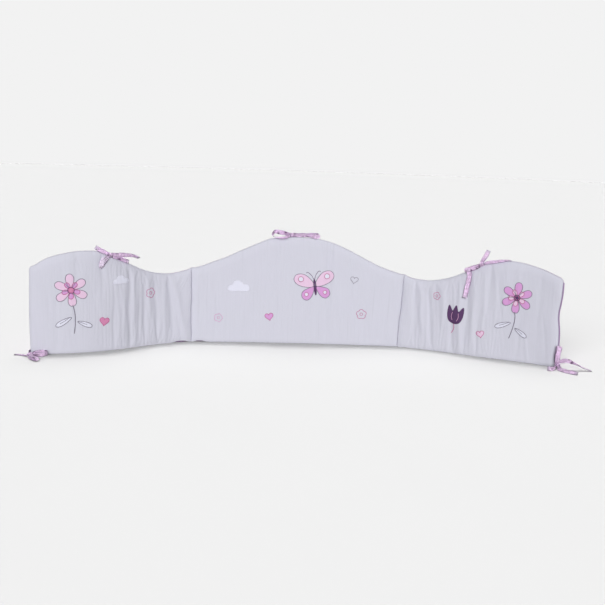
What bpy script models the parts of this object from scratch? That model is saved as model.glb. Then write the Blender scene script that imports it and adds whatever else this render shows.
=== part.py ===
"""Crib bumper: three padded panels with a scalloped top, their orchid back cloth, and five cloth ties.

Metres, +Z up. It stands on its lower edge in a shallow U, as it stands round the head of a cot. The origin is on
the floor under the middle of the centre panel. +X runs along that panel, and -Y is the front, the sleeper's side.
A place on the bumper is given as along, out and up: the distance along the floor line from the middle, the
distance in front of the padding's middle surface, and the height over the floor.
"""

from collections import namedtuple
from math import cos, exp, hypot, pi, radians, sin, sqrt

import bmesh
import bpy
from mathutils import Quaternion, Vector

# Driving dimensions
CENTRE_LENGTH = 0.600  # from fold to fold, the width of a 60 cm cot
WING_LENGTH = 0.460
FOLD = CENTRE_LENGTH / 2
END = FOLD + WING_LENGTH
GAP = 0.0003  # between pieces that touch

PANELS = {
    "panel_left": (-END, -FOLD - GAP / 2),
    "panel_centre": (-FOLD + GAP / 2, FOLD - GAP / 2),
    "panel_right": (FOLD + GAP / 2, END),
}

PAD_HALF = 0.009  # half of the padding's full thickness
SEAM_HALF = 0.0022  # half of its thickness where it is sewn
FOOT_SHARE = 0.55  # of its fullness, where the lower edge is pressed flat on the floor
SIDE_REACH = 0.022  # how far in from a fold or an end the padding takes to fill out
TOP_REACH = 0.026
FOOT_REACH = 0.014
COVER_THICKNESS = 0.0015  # the back cloth
COVER_FOOT = 0.0008  # its lower edge is just clear of the floor
CORNER_RADIUS = {-1: 0.005, 1: 0.016}  # the top corners, by side

STRAP_WIDTH = 0.012
STRAP_THICKNESS = 0.0016
KNOT_SIZE = (0.014, 0.010, 0.011)  # along, out, up

FLOOR_STEP = 0.001  # walk along the floor line
FOLD_BEND = 0.010  # the turn at a fold is spread this far to each side
RUN_OUT = 0.150  # the floor line goes on straight past each end, for the ties
FOLD_LEAN = 0.060  # the right-hand fold's top stands this much outward for each metre of height
FOLD_LEAN_REACH = 0.130

# The cut outline, the same on both halves: height of the top edge at each distance from the middle
Outline = namedtuple("Outline", "along height")
OUTLINE = [
    Outline(0.000, 0.310),
    Outline(0.075, 0.303),
    Outline(0.150, 0.275),
    Outline(0.225, 0.240),
    Outline(0.300, 0.215),
    Outline(0.366, 0.201),
    Outline(0.431, 0.210),
    Outline(0.497, 0.238),
    Outline(0.563, 0.269),
    Outline(0.629, 0.276),
    Outline(0.694, 0.265),
    Outline(0.760, 0.243),
]

# How far the floor line has turned towards the front, in degrees, at each distance along it
Turn = namedtuple("Turn", "along heading")
FLOOR_LINE = [
    Turn(-END, -5.9),
    Turn(-0.668, -15.4),
    Turn(-0.576, -28.4),
    Turn(-0.484, -39.7),
    Turn(-0.392, -33.5),
    Turn(-FOLD - FOLD_BEND, -16.5),
    Turn(-FOLD + FOLD_BEND, -4.6),
    Turn(FOLD - FOLD_BEND, 4.6),
    Turn(FOLD + FOLD_BEND, 17.5),
    Turn(0.392, 25.8),
    Turn(0.484, 29.8),
    Turn(0.576, 25.8),
    Turn(0.668, 27.9),
    Turn(END, 37.4),
]

# Upright creases of the front cloth: soft troughs, or ridges where the depth is below zero. lean is the shift
# along the bumper for each metre of height; low and high are where the crease dies out, as shares of the height.
Crease = namedtuple("Crease", "along depth width lean low high")
CREASES = [
    Crease(-0.573, 0.0010, 0.011, 0.00, 0.55, 1.10),
    Crease(-0.512, -0.0012, 0.010, 0.02, 0.10, 0.80),
    Crease(-0.494, 0.0018, 0.009, 0.00, -0.10, 1.00),
    Crease(-0.479, -0.0014, 0.009, 0.02, 0.30, 1.10),
    Crease(-0.447, 0.0020, 0.010, -0.03, 0.05, 0.85),
    Crease(-0.430, -0.0014, 0.009, -0.06, 0.40, 1.10),
    Crease(-0.412, 0.0018, 0.010, -0.05, -0.10, 0.95),
    Crease(-0.385, -0.0018, 0.010, 0.00, -0.10, 1.10),
    Crease(-0.362, 0.0024, 0.010, -0.12, 0.10, 1.10),
    Crease(-0.339, -0.0024, 0.011, -0.22, -0.10, 1.10),
    Crease(-0.160, 0.0007, 0.014, 0.00, 0.20, 0.90),
    Crease(0.092, 0.0012, 0.013, 0.03, -0.10, 1.10),
    Crease(0.110, -0.0008, 0.014, 0.03, 0.10, 1.00),
    Crease(0.205, 0.0007, 0.014, 0.00, 0.00, 0.90),
    Crease(0.345, 0.0018, 0.011, -0.06, 0.10, 1.00),
    Crease(0.366, -0.0020, 0.011, -0.14, 0.25, 1.10),
    Crease(0.392, 0.0018, 0.010, -0.12, 0.00, 0.90),
    Crease(0.434, -0.0018, 0.011, -0.04, 0.30, 1.10),
    Crease(0.456, 0.0016, 0.010, -0.10, -0.10, 0.70),
    Crease(0.481, -0.0016, 0.010, -0.05, -0.10, 0.90),
    Crease(0.503, 0.0020, 0.010, 0.03, 0.10, 1.00),
    Crease(0.521, -0.0014, 0.010, 0.02, 0.05, 0.85),
    Crease(0.549, 0.0014, 0.011, 0.00, 0.45, 1.10),
    Crease(0.605, -0.0010, 0.013, 0.00, 0.50, 1.10),
]

# Where the front panels' lower edge is drawn up beside the left-hand fold, so the back cloth shows under it
Lift = namedtuple("Lift", "along height reach")
FOOT_LIFTS = [
    Lift(-0.327, 0.0034, 0.016),
    Lift(-0.276, 0.0030, 0.014),
]

# The roll of the back cloth round the right-hand end: how far past the end, and how far forward and back it stands
# there, as shares of the seam's own thickness
Roll = namedtuple("Roll", "reach front back")
ROLL = [
    Roll(0.0000, 0.8, 1.0),
    Roll(0.0025, 1.3, 1.1),
    Roll(0.0050, 0.2, 0.6),
]

# Rows of a panel's mesh: distances in from its lower and its top edge, with the rest evenly between
FOOT_ROWS = (0.0, 0.004, 0.014)
TOP_ROWS = (0.026, 0.015, 0.007, 0.0025, 0.0)
BETWEEN_ROWS = 3
SIDE_COLUMNS = (0.0, 0.003, 0.009, 0.020)
CREASED_STEP = 0.0095
PLAIN_STEP = 0.0200
CREASED_REACH = 0.225  # of a wing, from its fold

# A strap's bends, from the tie's place on the bumper; twist is in degrees, about the strap's own run
Bend = namedtuple("Bend", "along out up twist")
ALONG, OUT, UP = Vector((1, 0, 0)), Vector((0, 1, 0)), Vector((0, 0, 1))
STRAP_STEPS = 3  # between two bends


def curve_value(rows, at):
    """The value at `at` on the smooth curve through the rows, which hold a place and a value each."""
    last = len(rows) - 1
    at = min(max(at, rows[0][0]), rows[last][0])
    k = next(i for i in range(last) if at <= rows[i + 1][0])

    def slope(i):
        a, b = rows[max(i - 1, 0)], rows[min(i + 1, last)]
        return (b[1] - a[1]) / (b[0] - a[0])

    span = rows[k + 1][0] - rows[k][0]
    t = (at - rows[k][0]) / span
    return (
        (2 * t**3 - 3 * t**2 + 1) * rows[k][1]
        + (t**3 - 2 * t**2 + t) * span * slope(k)
        + (3 * t**2 - 2 * t**3) * rows[k + 1][1]
        + (t**3 - t**2) * span * slope(k + 1)
    )


def line_value(rows, at):
    """The value at `at` on straight runs between the rows."""
    at = min(max(at, rows[0][0]), rows[-1][0])
    k = next(i for i in range(len(rows) - 1) if at <= rows[i + 1][0])
    t = (at - rows[k][0]) / (rows[k + 1][0] - rows[k][0])
    return rows[k][1] * (1 - t) + rows[k + 1][1] * t


def walk_floor_line(side):
    """Points on the floor from the middle to past one end, a step apart."""
    points = [Vector((0, 0, 0))]
    for i in range(round((END + RUN_OUT) / FLOOR_STEP)):
        heading = radians(line_value(FLOOR_LINE, side * (i + 0.5) * FLOOR_STEP))
        points.append(points[-1] + side * FLOOR_STEP * Vector((cos(heading), -sin(heading), 0)))
    return points


FLOOR_POINTS = {side: walk_floor_line(side) for side in (-1, 1)}


def front_of(along):
    """The level direction that the front faces here."""
    heading = radians(line_value(FLOOR_LINE, along))
    return Vector((-sin(heading), -cos(heading), 0))


def along_of(along):
    """The level direction in which the bumper runs here."""
    front = front_of(along)
    return Vector((-front.y, front.x, 0))


def place(along, out, up):
    """The point at this place on, before or behind the bumper."""
    side = -1 if along < 0 else 1
    steps = min(abs(along) / FLOOR_STEP, len(FLOOR_POINTS[side]) - 1.001)
    a, b = FLOOR_POINTS[side][int(steps)], FLOOR_POINTS[side][int(steps) + 1]
    lean = FOLD_LEAN * max(0.0, 1 - ((along - FOLD) / FOLD_LEAN_REACH) ** 2) ** 2
    return a.lerp(b, steps - int(steps)) + front_of(along) * out + along_of(FOLD) * lean * up + Vector((0, 0, up))


def top_edge(along):
    """Height of the top edge, with the corner rounded off at each end."""
    height = curve_value(OUTLINE, abs(along))
    radius = CORNER_RADIUS[-1 if along < 0 else 1]
    inset = max(END - abs(along), 0)
    if inset < radius:
        height -= radius - sqrt(radius**2 - (radius - inset) ** 2)
    return height


def foot_edge(along):
    """Height of the front panels' lower edge."""
    return sum(lift.height * exp(-(((along - lift.along) / lift.reach) ** 4)) for lift in FOOT_LIFTS)


def fill(distance, reach):
    """How full the padding is at this distance from a seam, as a quarter of an ellipse."""
    return sqrt(1 - (1 - min(max(distance, 0) / reach, 1)) ** 2)


def crease_depth(along, up, height):
    """How far the front cloth is drawn in here by the upright creases."""
    depth = 0.0
    for crease in CREASES:
        off = (along - crease.along - crease.lean * (up - height / 2)) / crease.width
        share = up / height
        fade = min(max((share - crease.low) / 0.2, 0), 1) * min(max((crease.high - share) / 0.2, 0), 1)
        depth += crease.depth * exp(-off * off) * fade
    return depth


def fullness(along, up, height):
    """The padding's share of its full thickness: less by the folds, the ends and both long edges."""
    from_side = min(abs(abs(along) - FOLD) - GAP / 2, END - abs(along))
    foot = FOOT_SHARE + (1 - FOOT_SHARE) * fill(up - foot_edge(along), FOOT_REACH)
    return fill(from_side, SIDE_REACH) * foot * fill(height - up, TOP_REACH)


def pad_front(along, up):
    height = top_edge(along)
    full = fullness(along, up, height)
    return SEAM_HALF + (PAD_HALF - SEAM_HALF) * full - crease_depth(along, up, height) * full


def pad_back(along, up):
    return -SEAM_HALF - (PAD_HALF - SEAM_HALF) * fullness(along, up, top_edge(along))


def rows_at(along, between):
    """Heights of the mesh's rows in one column, with `between` of them where the padding is full."""
    lower = [foot_edge(along) + row for row in FOOT_ROWS]
    upper = [top_edge(along) - row for row in TOP_ROWS]
    step = (upper[0] - lower[-1]) / (between + 1)
    return lower + [lower[-1] + step * (i + 1) for i in range(between)] + upper


def even_steps(start, stop, step):
    count = max(1, round((stop - start) / step))
    return [start + (stop - start) * i / count for i in range(count + 1)]


def columns_between(start, stop):
    """Places of a panel's mesh columns: close by its seams, and closer in a wing's creased part."""
    inner_start, inner_stop = start + SIDE_COLUMNS[-1], stop - SIDE_COLUMNS[-1]
    creased = FOLD + CREASED_REACH
    if start < -FOLD:
        inner = even_steps(inner_start, -creased, PLAIN_STEP) + even_steps(-creased, inner_stop, CREASED_STEP)[1:]
    elif start >= FOLD:
        inner = even_steps(inner_start, creased, CREASED_STEP) + even_steps(creased, inner_stop, PLAIN_STEP)[1:]
    else:
        inner = even_steps(inner_start, inner_stop, PLAIN_STEP)
    return [start + c for c in SIDE_COLUMNS[:-1]] + inner + [stop - c for c in reversed(SIDE_COLUMNS[:-1])]


def cloth_material(name, color):
    material = bpy.data.materials.new(name)
    material.use_nodes = True
    shader = material.node_tree.nodes["Principled BSDF"]
    shader.inputs["Base Color"].default_value = (*color, 1)
    shader.inputs["Roughness"].default_value = 0.9
    shader.inputs["Metallic"].default_value = 0
    return material


def add_object(name, mesh_builder, material):
    """Turns a finished bmesh into a named, smooth-shaded object."""
    bmesh.ops.recalc_face_normals(mesh_builder, faces=mesh_builder.faces)
    mesh = bpy.data.meshes.new(name)
    mesh_builder.to_mesh(mesh)
    mesh_builder.free()
    mesh.materials.append(material)
    mesh.shade_smooth()
    mesh.set_sharp_from_angle(angle=radians(50))
    thing = bpy.data.objects.new(name, mesh)
    bpy.context.collection.objects.link(thing)
    return thing


def closed_sheet(name, columns, material):
    """A closed solid from columns of (front points, back points), joined round their rim.

    Both sides are split along the same diagonals, so two sheets that touch stay parallel.
    """
    shape = bmesh.new()
    front = [[shape.verts.new(p) for p in front_points] for front_points, _ in columns]
    back = [[shape.verts.new(p) for p in back_points] for _, back_points in columns]
    last = len(front[0]) - 1
    for i in range(len(columns) - 1):
        for j in range(last):
            for side in (front, back):
                shape.faces.new((side[i][j], side[i + 1][j], side[i + 1][j + 1]))
                shape.faces.new((side[i][j], side[i + 1][j + 1], side[i][j + 1]))
        for j in (0, last):
            shape.faces.new((front[i][j], back[i][j], back[i + 1][j], front[i + 1][j]))
    for i in (0, len(columns) - 1):
        for j in range(last):
            shape.faces.new((front[i][j], front[i][j + 1], back[i][j + 1], back[i][j]))
    return add_object(name, shape, material)


def panel(name, start, stop, material):
    """One padded panel of the front, drawn in at its seams and creased as it stands."""
    columns = []
    for along in columns_between(start, stop):
        rows = rows_at(along, BETWEEN_ROWS)
        columns.append(
            (
                [place(along, pad_front(along, up), up) for up in rows],
                [place(along, pad_back(along, up), up) for up in rows],
            )
        )
    return closed_sheet(name, columns, material)


def back_cover(name, material):
    """The back cloth in one length, close behind the panels, rolled forward round the right-hand end."""
    columns = []
    for along in sorted({along for start, stop in PANELS.values() for along in columns_between(start, stop)}):
        at = along + GAP if along == END else along
        rows = rows_at(along, 0)
        inner = [pad_back(along, up) - GAP for up in rows]
        inner[0] += (inner[1] - inner[0]) * max(0, COVER_FOOT - foot_edge(along)) / FOOT_ROWS[1]
        rows[0] = COVER_FOOT
        columns.append(
            (
                [place(at, out, up) for out, up in zip(inner, rows)],
                [place(at, out - COVER_THICKNESS, up) for out, up in zip(inner, rows)],
            )
        )
    behind = SEAM_HALF + GAP + COVER_THICKNESS
    for rolled in ROLL:
        at = END + 2 * GAP + rolled.reach
        rows = rows_at(END, 0)
        columns.append(
            (
                [place(at, SEAM_HALF * rolled.front, up) for up in rows],
                [place(at, -behind * rolled.back, up) for up in rows],
            )
        )
    return closed_sheet(name, columns, material)


def smooth_run(bends):
    """Points and twists at even shares between the bends, on a smooth curve through them."""
    run = []
    for k in range(len(bends) - 1):
        a, b, c, d = (bends[min(max(k + i, 0), len(bends) - 1)] for i in (-1, 0, 1, 2))
        steps = STRAP_STEPS + (1 if k == len(bends) - 2 else 0)
        for i in range(steps):
            t = i / STRAP_STEPS
            run.append(
                [
                    0.5 * (2 * b[n] + (c[n] - a[n]) * t + (2 * a[n] - 5 * b[n] + 4 * c[n] - d[n]) * t**2
                           + (3 * b[n] - a[n] - 3 * c[n] + d[n]) * t**3)
                    for n in range(4)
                ]
            )
    return run


def strap(name, along, up, width_way, bends, material):
    """A flat strap through the bends, whose width starts in the direction width_way, on a tie at along and up."""
    run = smooth_run(bends)
    points = [place(along + r[0], r[1], up + r[2]) for r in run]
    across = width_way.x * along_of(along) + width_way.y * front_of(along) + width_way.z * UP
    shape = bmesh.new()
    rings = []
    before = None
    for i, point in enumerate(points):
        way = (points[min(i + 1, len(points) - 1)] - points[max(i - 1, 0)]).normalized()
        if before is not None:
            across = before.rotation_difference(way) @ across
        across = (across - across.dot(way) * way).normalized()
        before = way
        turned = Quaternion(way, radians(run[i][3])) @ across
        wide, thick = turned * STRAP_WIDTH / 2, way.cross(turned) * STRAP_THICKNESS / 2
        rings.append([shape.verts.new(point + a * wide + b * thick) for a, b in ((1, 1), (-1, 1), (-1, -1), (1, -1))])
    for one, two in zip(rings, rings[1:]):
        for k in range(4):
            shape.faces.new((one[k], one[(k + 1) % 4], two[(k + 1) % 4], two[k]))
    shape.faces.new(rings[0])
    shape.faces.new(rings[-1])
    return add_object(name, shape, material)


def knot(name, along, out, up, material):
    """The wrapped knot that a tie's straps come out of: a rounded lump with a waist round its middle."""
    shape = bmesh.new()
    bmesh.ops.create_uvsphere(shape, u_segments=12, v_segments=8, radius=0.5)
    centre = place(along, out, up)
    for vert in shape.verts:
        waist = 1 - 0.14 * cos(2 * pi * vert.co.x) * (hypot(vert.co.y, vert.co.z) > 0.2)
        offset = along_of(along) * vert.co.x * KNOT_SIZE[0]
        offset -= front_of(along) * vert.co.y * KNOT_SIZE[1] * waist
        offset += UP * vert.co.z * KNOT_SIZE[2] * waist
        vert.co = centre + offset
    return add_object(name, shape, material)


def millimetres(*rows):
    """Bends written in millimetres and degrees."""
    return [Bend(a / 1000, o / 1000, u / 1000, twist) for a, o, u, twist in rows]


def centre_tie(material):
    """The bow on the peak: an open loop to the left, a flat one to the right, and both ends behind the panel."""
    along, up = 0.0, top_edge(0.0)
    knot("tie_centre_knot", along - 0.0146, 0.0, up + 0.0055, material)
    strap("tie_centre_loop_left", along, up, OUT, millimetres(
        (-22.8, 0, 8, 50), (-38, 0, 12.5, 25), (-55, 0, 17, 10), (-69.5, 2, 11, 10),
        (-68, 6, -0.5, 40), (-53, 9.5, -6, 75), (-37, 9, -4, 88), (-23, 4.5, 2.5, 92)), material)
    strap("tie_centre_loop_right", along, up, UP, millimetres(
        (-6.4, 3.4, 6.8, 0), (6, 6.8, 4.8, 0), (20, 7.4, 4.4, 0), (36, 7.8, 3.8, 0), (47, 8.2, 2.9, 0),
        (55.5, 7.8, 2.8, 0), (61, 5.6, 4, 0), (63, 1.6, 6.1, 0), (61, -2.4, 8.2, 0), (55.5, -4.8, 9.3, 0),
        (46, -5, 9, 0), (30, -4.5, 7.8, 0), (10, -3.4, 7.4, 0), (-6.4, -2.6, 7.4, 0)), material)
    strap("tie_centre_end_long", along, up, ALONG, millimetres(
        (-21.6, -6.8, 2.6, 0), (-24.6, -11, -2, 0), (-28, -14.5, -14, 0), (-31, -14.5, -47, 0), (-35, -14, -90, 5)),
        material)
    strap("tie_centre_end_short", along, up, ALONG, millimetres(
        (-9, -7, 2.6, 0), (-8.6, -11.5, -2.6, 0), (-5, -14.5, -15, 0), (1, -14.5, -42, 0), (4, -14, -72, -6)),
        material)


def left_top_tie(material):
    """The tie on the left-hand hump: one end up to the left, two to the right, and a small loop in front."""
    along, up = -0.553, top_edge(-0.553)
    knot("tie_left_top_knot", along - 0.0006, 0.0126, up - 0.0006, material)
    strap("tie_left_top_end_up", along, up, UP, millimetres(
        (-8.6, 11.8, 3.2, 0), (-15.5, 10, 6.7, 0), (-25.5, 8.5, 12.2, 5), (-37.8, 7.5, 19.3, 10)), material)
    strap("tie_left_top_end_arch", along, up, UP, millimetres(
        (7.6, 13.6, -1.4, 0), (19, 14, -2.7, 0), (36, 14, -3.3, 8), (54, 13, -5.3, 30), (71.5, 12, -8.9, 55),
        (86, 11.5, -15.4, 68)), material)
    strap("tie_left_top_end_low", along, up, UP, millimetres(
        (7.8, 10.8, -5, -10), (20.5, 9.6, -9, -20), (35, 9.2, -15, -25), (55.5, 9, -25, -15)), material)
    strap("tie_left_top_loop", along, up, ALONG, millimetres(
        (-5.5, 14.2, -7.6, 0), (-15.3, 14.9, -22.5, 0), (-19.7, 15.2, -29.2, 0), (-22.2, 15, -33, 0),
        (-23, 13.1, -34.2, 0), (-22.2, 11.2, -33, 0), (-19.7, 11, -29.2, 0), (-15.3, 11.1, -22.5, 0),
        (-5, 11.2, -8.2, 0)), material)


def right_top_tie(material):
    """The tie on the right-hand hump: ends standing up, lying along the edge, and falling over the front."""
    along, up = 0.538, top_edge(0.538)
    knot("tie_right_top_knot", along - 0.0011, 0.0115, up + 0.0034, material)
    strap("tie_right_top_end_up", along, up, ALONG, millimetres(
        (-0.2, 11.5, 10.8, 0), (4.8, 10, 20.5, 3), (10, 8.5, 31, 6), (15.2, 7.5, 42.5, 10)), material)
    strap("tie_right_top_end_over", along, up, UP, millimetres(
        (-9.4, 11.8, -2, 0), (-19, 12, -7.3, 0), (-33.5, 12.4, -12.2, 0), (-41, 12.6, -20, 0), (-38.6, 12.6, -33, 0),
        (-38, 12.3, -50, 0), (-40.3, 12.2, -71, 4), (-43, 12.2, -96.4, 8)), material)
    strap("tie_right_top_end_along", along, up, UP, millimetres(
        (11.4, 11, 8, -5), (18.5, 9.6, 10.4, -10), (28.8, 8.4, 12.4, -20), (46, 6, 16.4, -45), (62, 2.5, 19.2, -75),
        (77.5, 0.5, 19.2, -88)), material)


def left_foot_tie(material):
    """The bow lying in front of the foot of the left-hand end: two loops, a free end, and the end sewn in the seam."""
    along = -END
    knot("tie_left_foot_knot", along + 0.0038, 0.0370, 0.0062, material)
    strap("tie_left_foot_loop_wall", along, 0.0, UP, millimetres(
        (11.5, 38.5, 6.9, 0), (22.4, 40.5, 6.5, 0), (36.4, 36, 6.5, 0), (44, 23.5, 7, 0), (35, 12.5, 6.8, 0),
        (20.5, 15.5, 6.6, 0), (12.5, 25, 6.6, 0), (9.8, 32, 6.6, 0)), material)
    strap("tie_left_foot_loop_floor", along, 0.0, ALONG, millimetres(
        (4.5, 42.8, 4.4, 0), (7.6, 57, 2.2, -3), (12, 68, 1.5, -4), (19, 80.5, 1.7, -4), (27, 93, 5.2, 0),
        (20, 83, 9.2, 6), (12.5, 69, 9.4, 6), (7.6, 57, 9, 6), (4.5, 42.8, 8, 6)), material)
    strap("tie_left_foot_end_floor", along, 0.0, OUT, millimetres(
        (-4.6, 34, 3.4, 0), (-11, 29.5, 1.6, 12), (-19, 23, 1.4, 12), (-29, 19, 1.4, 12), (-39, 18, 1.4, 12)), material)
    strap("tie_left_foot_end_sewn", along, 0.0, UP, millimetres(
        (-1.2, 1, 6.8, 0), (-1.8, 8, 6.8, 0), (-2, 17, 6.8, 0), (-0.8, 26, 6.8, 0), (1.4, 31.4, 6.6, 0)), material)


def right_foot_tie(material):
    """The tie at the foot of the right-hand end: a loop standing up, and three ends that reach the floor."""
    along = END
    knot("tie_right_foot_knot", along + 0.0068, 0.0140, 0.0112, material)
    strap("tie_right_foot_loop_up", along, 0.0, ALONG, millimetres(
        (8.6, 16.6, 17.8, 0), (9.6, 17, 32, 0), (9.5, 16.8, 44, 0), (9.1, 16.6, 52.2, 0), (8.7, 15.8, 57, 0),
        (8.1, 13, 58.4, 0), (7.5, 10.2, 57, 0), (6.8, 9.4, 52.2, 0), (5.5, 9.2, 44, 0), (4.6, 9.5, 32, 0),
        (4.6, 11, 17.8, 0)), material)
    strap("tie_right_foot_end_upper", along, 0.0, UP, millimetres(
        (14.4, 13.8, 19.8, 0), (26.3, 12, 24.2, -15), (39, 9, 23.2, -45), (54.2, 3.5, 17.2, -80), (72, -7, 8.4, -95),
        (89.5, -17, 1.7, -98)), material)
    strap("tie_right_foot_end_lower", along, 0.0, ALONG, millimetres(
        (13, 19, 5.4, -6), (17.6, 29, 2.4, -9), (27, 40, 1.4, -11), (47, 47.5, 1.3, -11), (75.8, 51, 1.3, -11)),
        material)
    strap("tie_right_foot_end_short", along, 0.0, UP, millimetres(
        (5.2, 19.8, 9, 0), (7.4, 28, 7, 0), (9, 42, 6.5, 0), (7, 53, 6.5, 0), (1, 60.5, 6.5, 0), (-3, 62, 6.5, 0)),
        material)


def build():
    for old in list(bpy.data.objects):
        bpy.data.objects.remove(old)
    front_cloth = cloth_material("pale_lilac_cotton", (0.66, 0.65, 0.73))
    back_cloth = cloth_material("orchid_cotton", (0.47, 0.24, 0.50))
    for name, (start, stop) in PANELS.items():
        panel(name, start, stop, front_cloth)
    back_cover("back_cover", back_cloth)
    centre_tie(back_cloth)
    left_top_tie(back_cloth)
    right_top_tie(back_cloth)
    left_foot_tie(back_cloth)
    right_foot_tie(back_cloth)


build()
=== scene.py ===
"""The crib bumper dressed for its picture: padded cotton panels, appliqué, a back cloth and cloth ties.

Metres, +Z up, in the CAD part's own frame. A place on the bumper is along, out and up: the distance along
the floor line from the middle, the distance in front of the padding's middle surface, and the height over
the floor.
"""

from math import cos, pi, radians, sin

import bmesh
import bpy
import numpy as np
from mathutils import Matrix, Quaternion, Vector
from mathutils.bvhtree import BVHTree
from mathutils.geometry import delaunay_2d_cdt


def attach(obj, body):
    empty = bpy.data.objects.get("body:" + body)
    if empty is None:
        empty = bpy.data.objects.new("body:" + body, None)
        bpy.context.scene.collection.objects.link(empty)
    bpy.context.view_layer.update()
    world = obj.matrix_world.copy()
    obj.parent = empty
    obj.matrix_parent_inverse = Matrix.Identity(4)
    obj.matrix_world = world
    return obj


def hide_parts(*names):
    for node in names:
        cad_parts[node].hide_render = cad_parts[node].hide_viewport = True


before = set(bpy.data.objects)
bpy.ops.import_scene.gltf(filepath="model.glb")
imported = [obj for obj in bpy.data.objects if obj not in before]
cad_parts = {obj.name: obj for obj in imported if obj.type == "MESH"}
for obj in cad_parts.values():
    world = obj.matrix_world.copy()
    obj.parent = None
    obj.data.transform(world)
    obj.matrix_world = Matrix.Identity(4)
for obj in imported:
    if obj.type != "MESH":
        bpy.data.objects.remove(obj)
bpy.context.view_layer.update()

# ----------------------------------------------------------------------------------------------------------
# Camera
# It stands where the photograph was taken from: 2.6 m in front, a little to the left, looking slightly down.
# Place, turn and lens come from a pinhole camera fitted to the bumper's outline and its two fold lines.
# ----------------------------------------------------------------------------------------------------------
CAMERA_PLACE = Vector((-0.084, -2.612, 0.591))
CAMERA_TURN, CAMERA_TILT, CAMERA_ROLL = radians(2.3), radians(10.22), radians(1.88)
CAMERA_LENS, CAMERA_SENSOR = 54.44, 36

camera = bpy.data.objects.new("camera", bpy.data.cameras.new("camera"))
camera.data.lens = CAMERA_LENS
camera.data.sensor_width = CAMERA_SENSOR
ahead = Vector(
    (sin(CAMERA_TURN) * cos(CAMERA_TILT), cos(CAMERA_TURN) * cos(CAMERA_TILT), -sin(CAMERA_TILT))
)
level = Vector((cos(CAMERA_TURN), -sin(CAMERA_TURN), 0))
over = level.cross(ahead)
rolled_level = level * cos(CAMERA_ROLL) + over * sin(CAMERA_ROLL)
rolled_over = over * cos(CAMERA_ROLL) - level * sin(CAMERA_ROLL)
facing = Matrix((rolled_level, rolled_over, -ahead)).transposed().to_4x4()
camera.matrix_world = Matrix.Translation(CAMERA_PLACE) @ facing
bpy.context.collection.objects.link(camera)
bpy.context.scene.camera = camera

# ----------------------------------------------------------------------------------------------------------
# Studio
# A pale matt floor under an even pale surround. A soft lamp in front and one behind light the bumper. The
# floor has its own: two high behind the bumper, for the soft shadow along its foot, and one low at the front
# left, for the shade beyond it.
# ----------------------------------------------------------------------------------------------------------
SURROUND_RADIUS = 14.0
SURROUND_HEX = "#F2F2F2"
FLOOR_HEX, FLOOR_MOTTLE_HEX = "#BCBCBC", "#BDBDBD"  # under this light it comes out as pale as the surround
FLOOR_MOTTLE_SCALE = 3.0
ROOM_STRENGTH = 0.30
FRONT_LAMP = {"strength": 2.50, "azimuth": -1, "height": 17, "spread": 30}
BACK_LAMP = {"strength": 2.0, "azimuth": 170, "height": 16, "spread": 30}
FLOOR_LAMPS = [
    {"strength": 2.55, "azimuth": 195, "height": 80.5, "spread": 13},
    {"strength": 1.02, "azimuth": 176, "height": 64, "spread": 40},
    {"strength": 2.48, "azimuth": -26, "height": 26, "spread": 28},
]

bpy.context.scene.view_settings.view_transform = "Standard"


def linear(hex_colour, alpha=1.0):
    """An sRGB hex value as the linear colour that the shaders take."""
    shares = [int(hex_colour[i : i + 2], 16) / 255 for i in (1, 3, 5)]
    return (*(s / 12.92 if s <= 0.04045 else ((s + 0.055) / 1.055) ** 2.4 for s in shares), alpha)


def add_node(tree, kind, settings=None, links=None):
    """Adds a node, sets its properties or input values, and links other nodes' outputs into its inputs."""
    node = tree.nodes.new("ShaderNode" + kind)
    for name, value in (settings or {}).items():
        if isinstance(name, str) and hasattr(node, name):
            setattr(node, name, value)
        else:
            node.inputs[name].default_value = value
    for name, socket in (links or {}).items():
        tree.links.new(socket, node.inputs[name])
    return node


def blank_material(name):
    """A material with an empty node tree, for its section to fill."""
    material = bpy.data.materials.new(name)
    material.use_nodes = True
    material.node_tree.nodes.clear()
    return material


def studio_object(name, shape, material):
    """An object of the studio from a finished bmesh."""
    thing = bpy.data.objects.new(name, bpy.data.meshes.new(name))
    shape.to_mesh(thing.data)
    shape.free()
    thing.data.materials.append(material)
    bpy.context.collection.objects.link(thing)
    return thing


def add_lamp(name, strength, azimuth, height, spread):
    """A distant soft lamp; azimuth 0 is the camera's side, and above zero it stands to the right of that."""
    lamp = bpy.data.objects.new(name, bpy.data.lights.new(name, "SUN"))
    lamp.data.energy = strength
    lamp.data.angle = radians(spread)
    a, h = radians(azimuth), radians(height)
    place = Vector((sin(a) * cos(h), -cos(a) * cos(h), sin(h)))
    lamp.rotation_mode = "QUATERNION"
    lamp.rotation_quaternion = (-place).to_track_quat("-Z", "Y")
    bpy.context.collection.objects.link(lamp)
    return lamp


room = bpy.data.worlds.new("soft_room")
room.use_nodes = True
room.node_tree.nodes["Background"].inputs["Color"].default_value = (1, 1, 1, 1)
room.node_tree.nodes["Background"].inputs["Strength"].default_value = ROOM_STRENGTH
bpy.context.scene.world = room

# Matt painted board: plain, with a barely visible mottle, so the shadows on it stay soft
floor_board = blank_material("matt_painted_board")
floor_tree = floor_board.node_tree
floor_place = add_node(floor_tree, "TexCoord")
floor_mottle = add_node(
    floor_tree,
    "TexNoise",
    {"Scale": FLOOR_MOTTLE_SCALE, "Detail": 2.0},
    {"Vector": floor_place.outputs["Object"]},
)
floor_tone = add_node(
    floor_tree,
    "MixRGB",
    {1: linear(FLOOR_HEX), 2: linear(FLOOR_MOTTLE_HEX)},
    {"Fac": floor_mottle.outputs["Fac"]},
)
floor_shader = add_node(
    floor_tree,
    "BsdfPrincipled",
    {"Roughness": 0.95, "Specular IOR Level": 0.0},
    {"Base Color": floor_tone.outputs[0]},
)
add_node(floor_tree, "OutputMaterial", None, {"Surface": floor_shader.outputs[0]})

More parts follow.
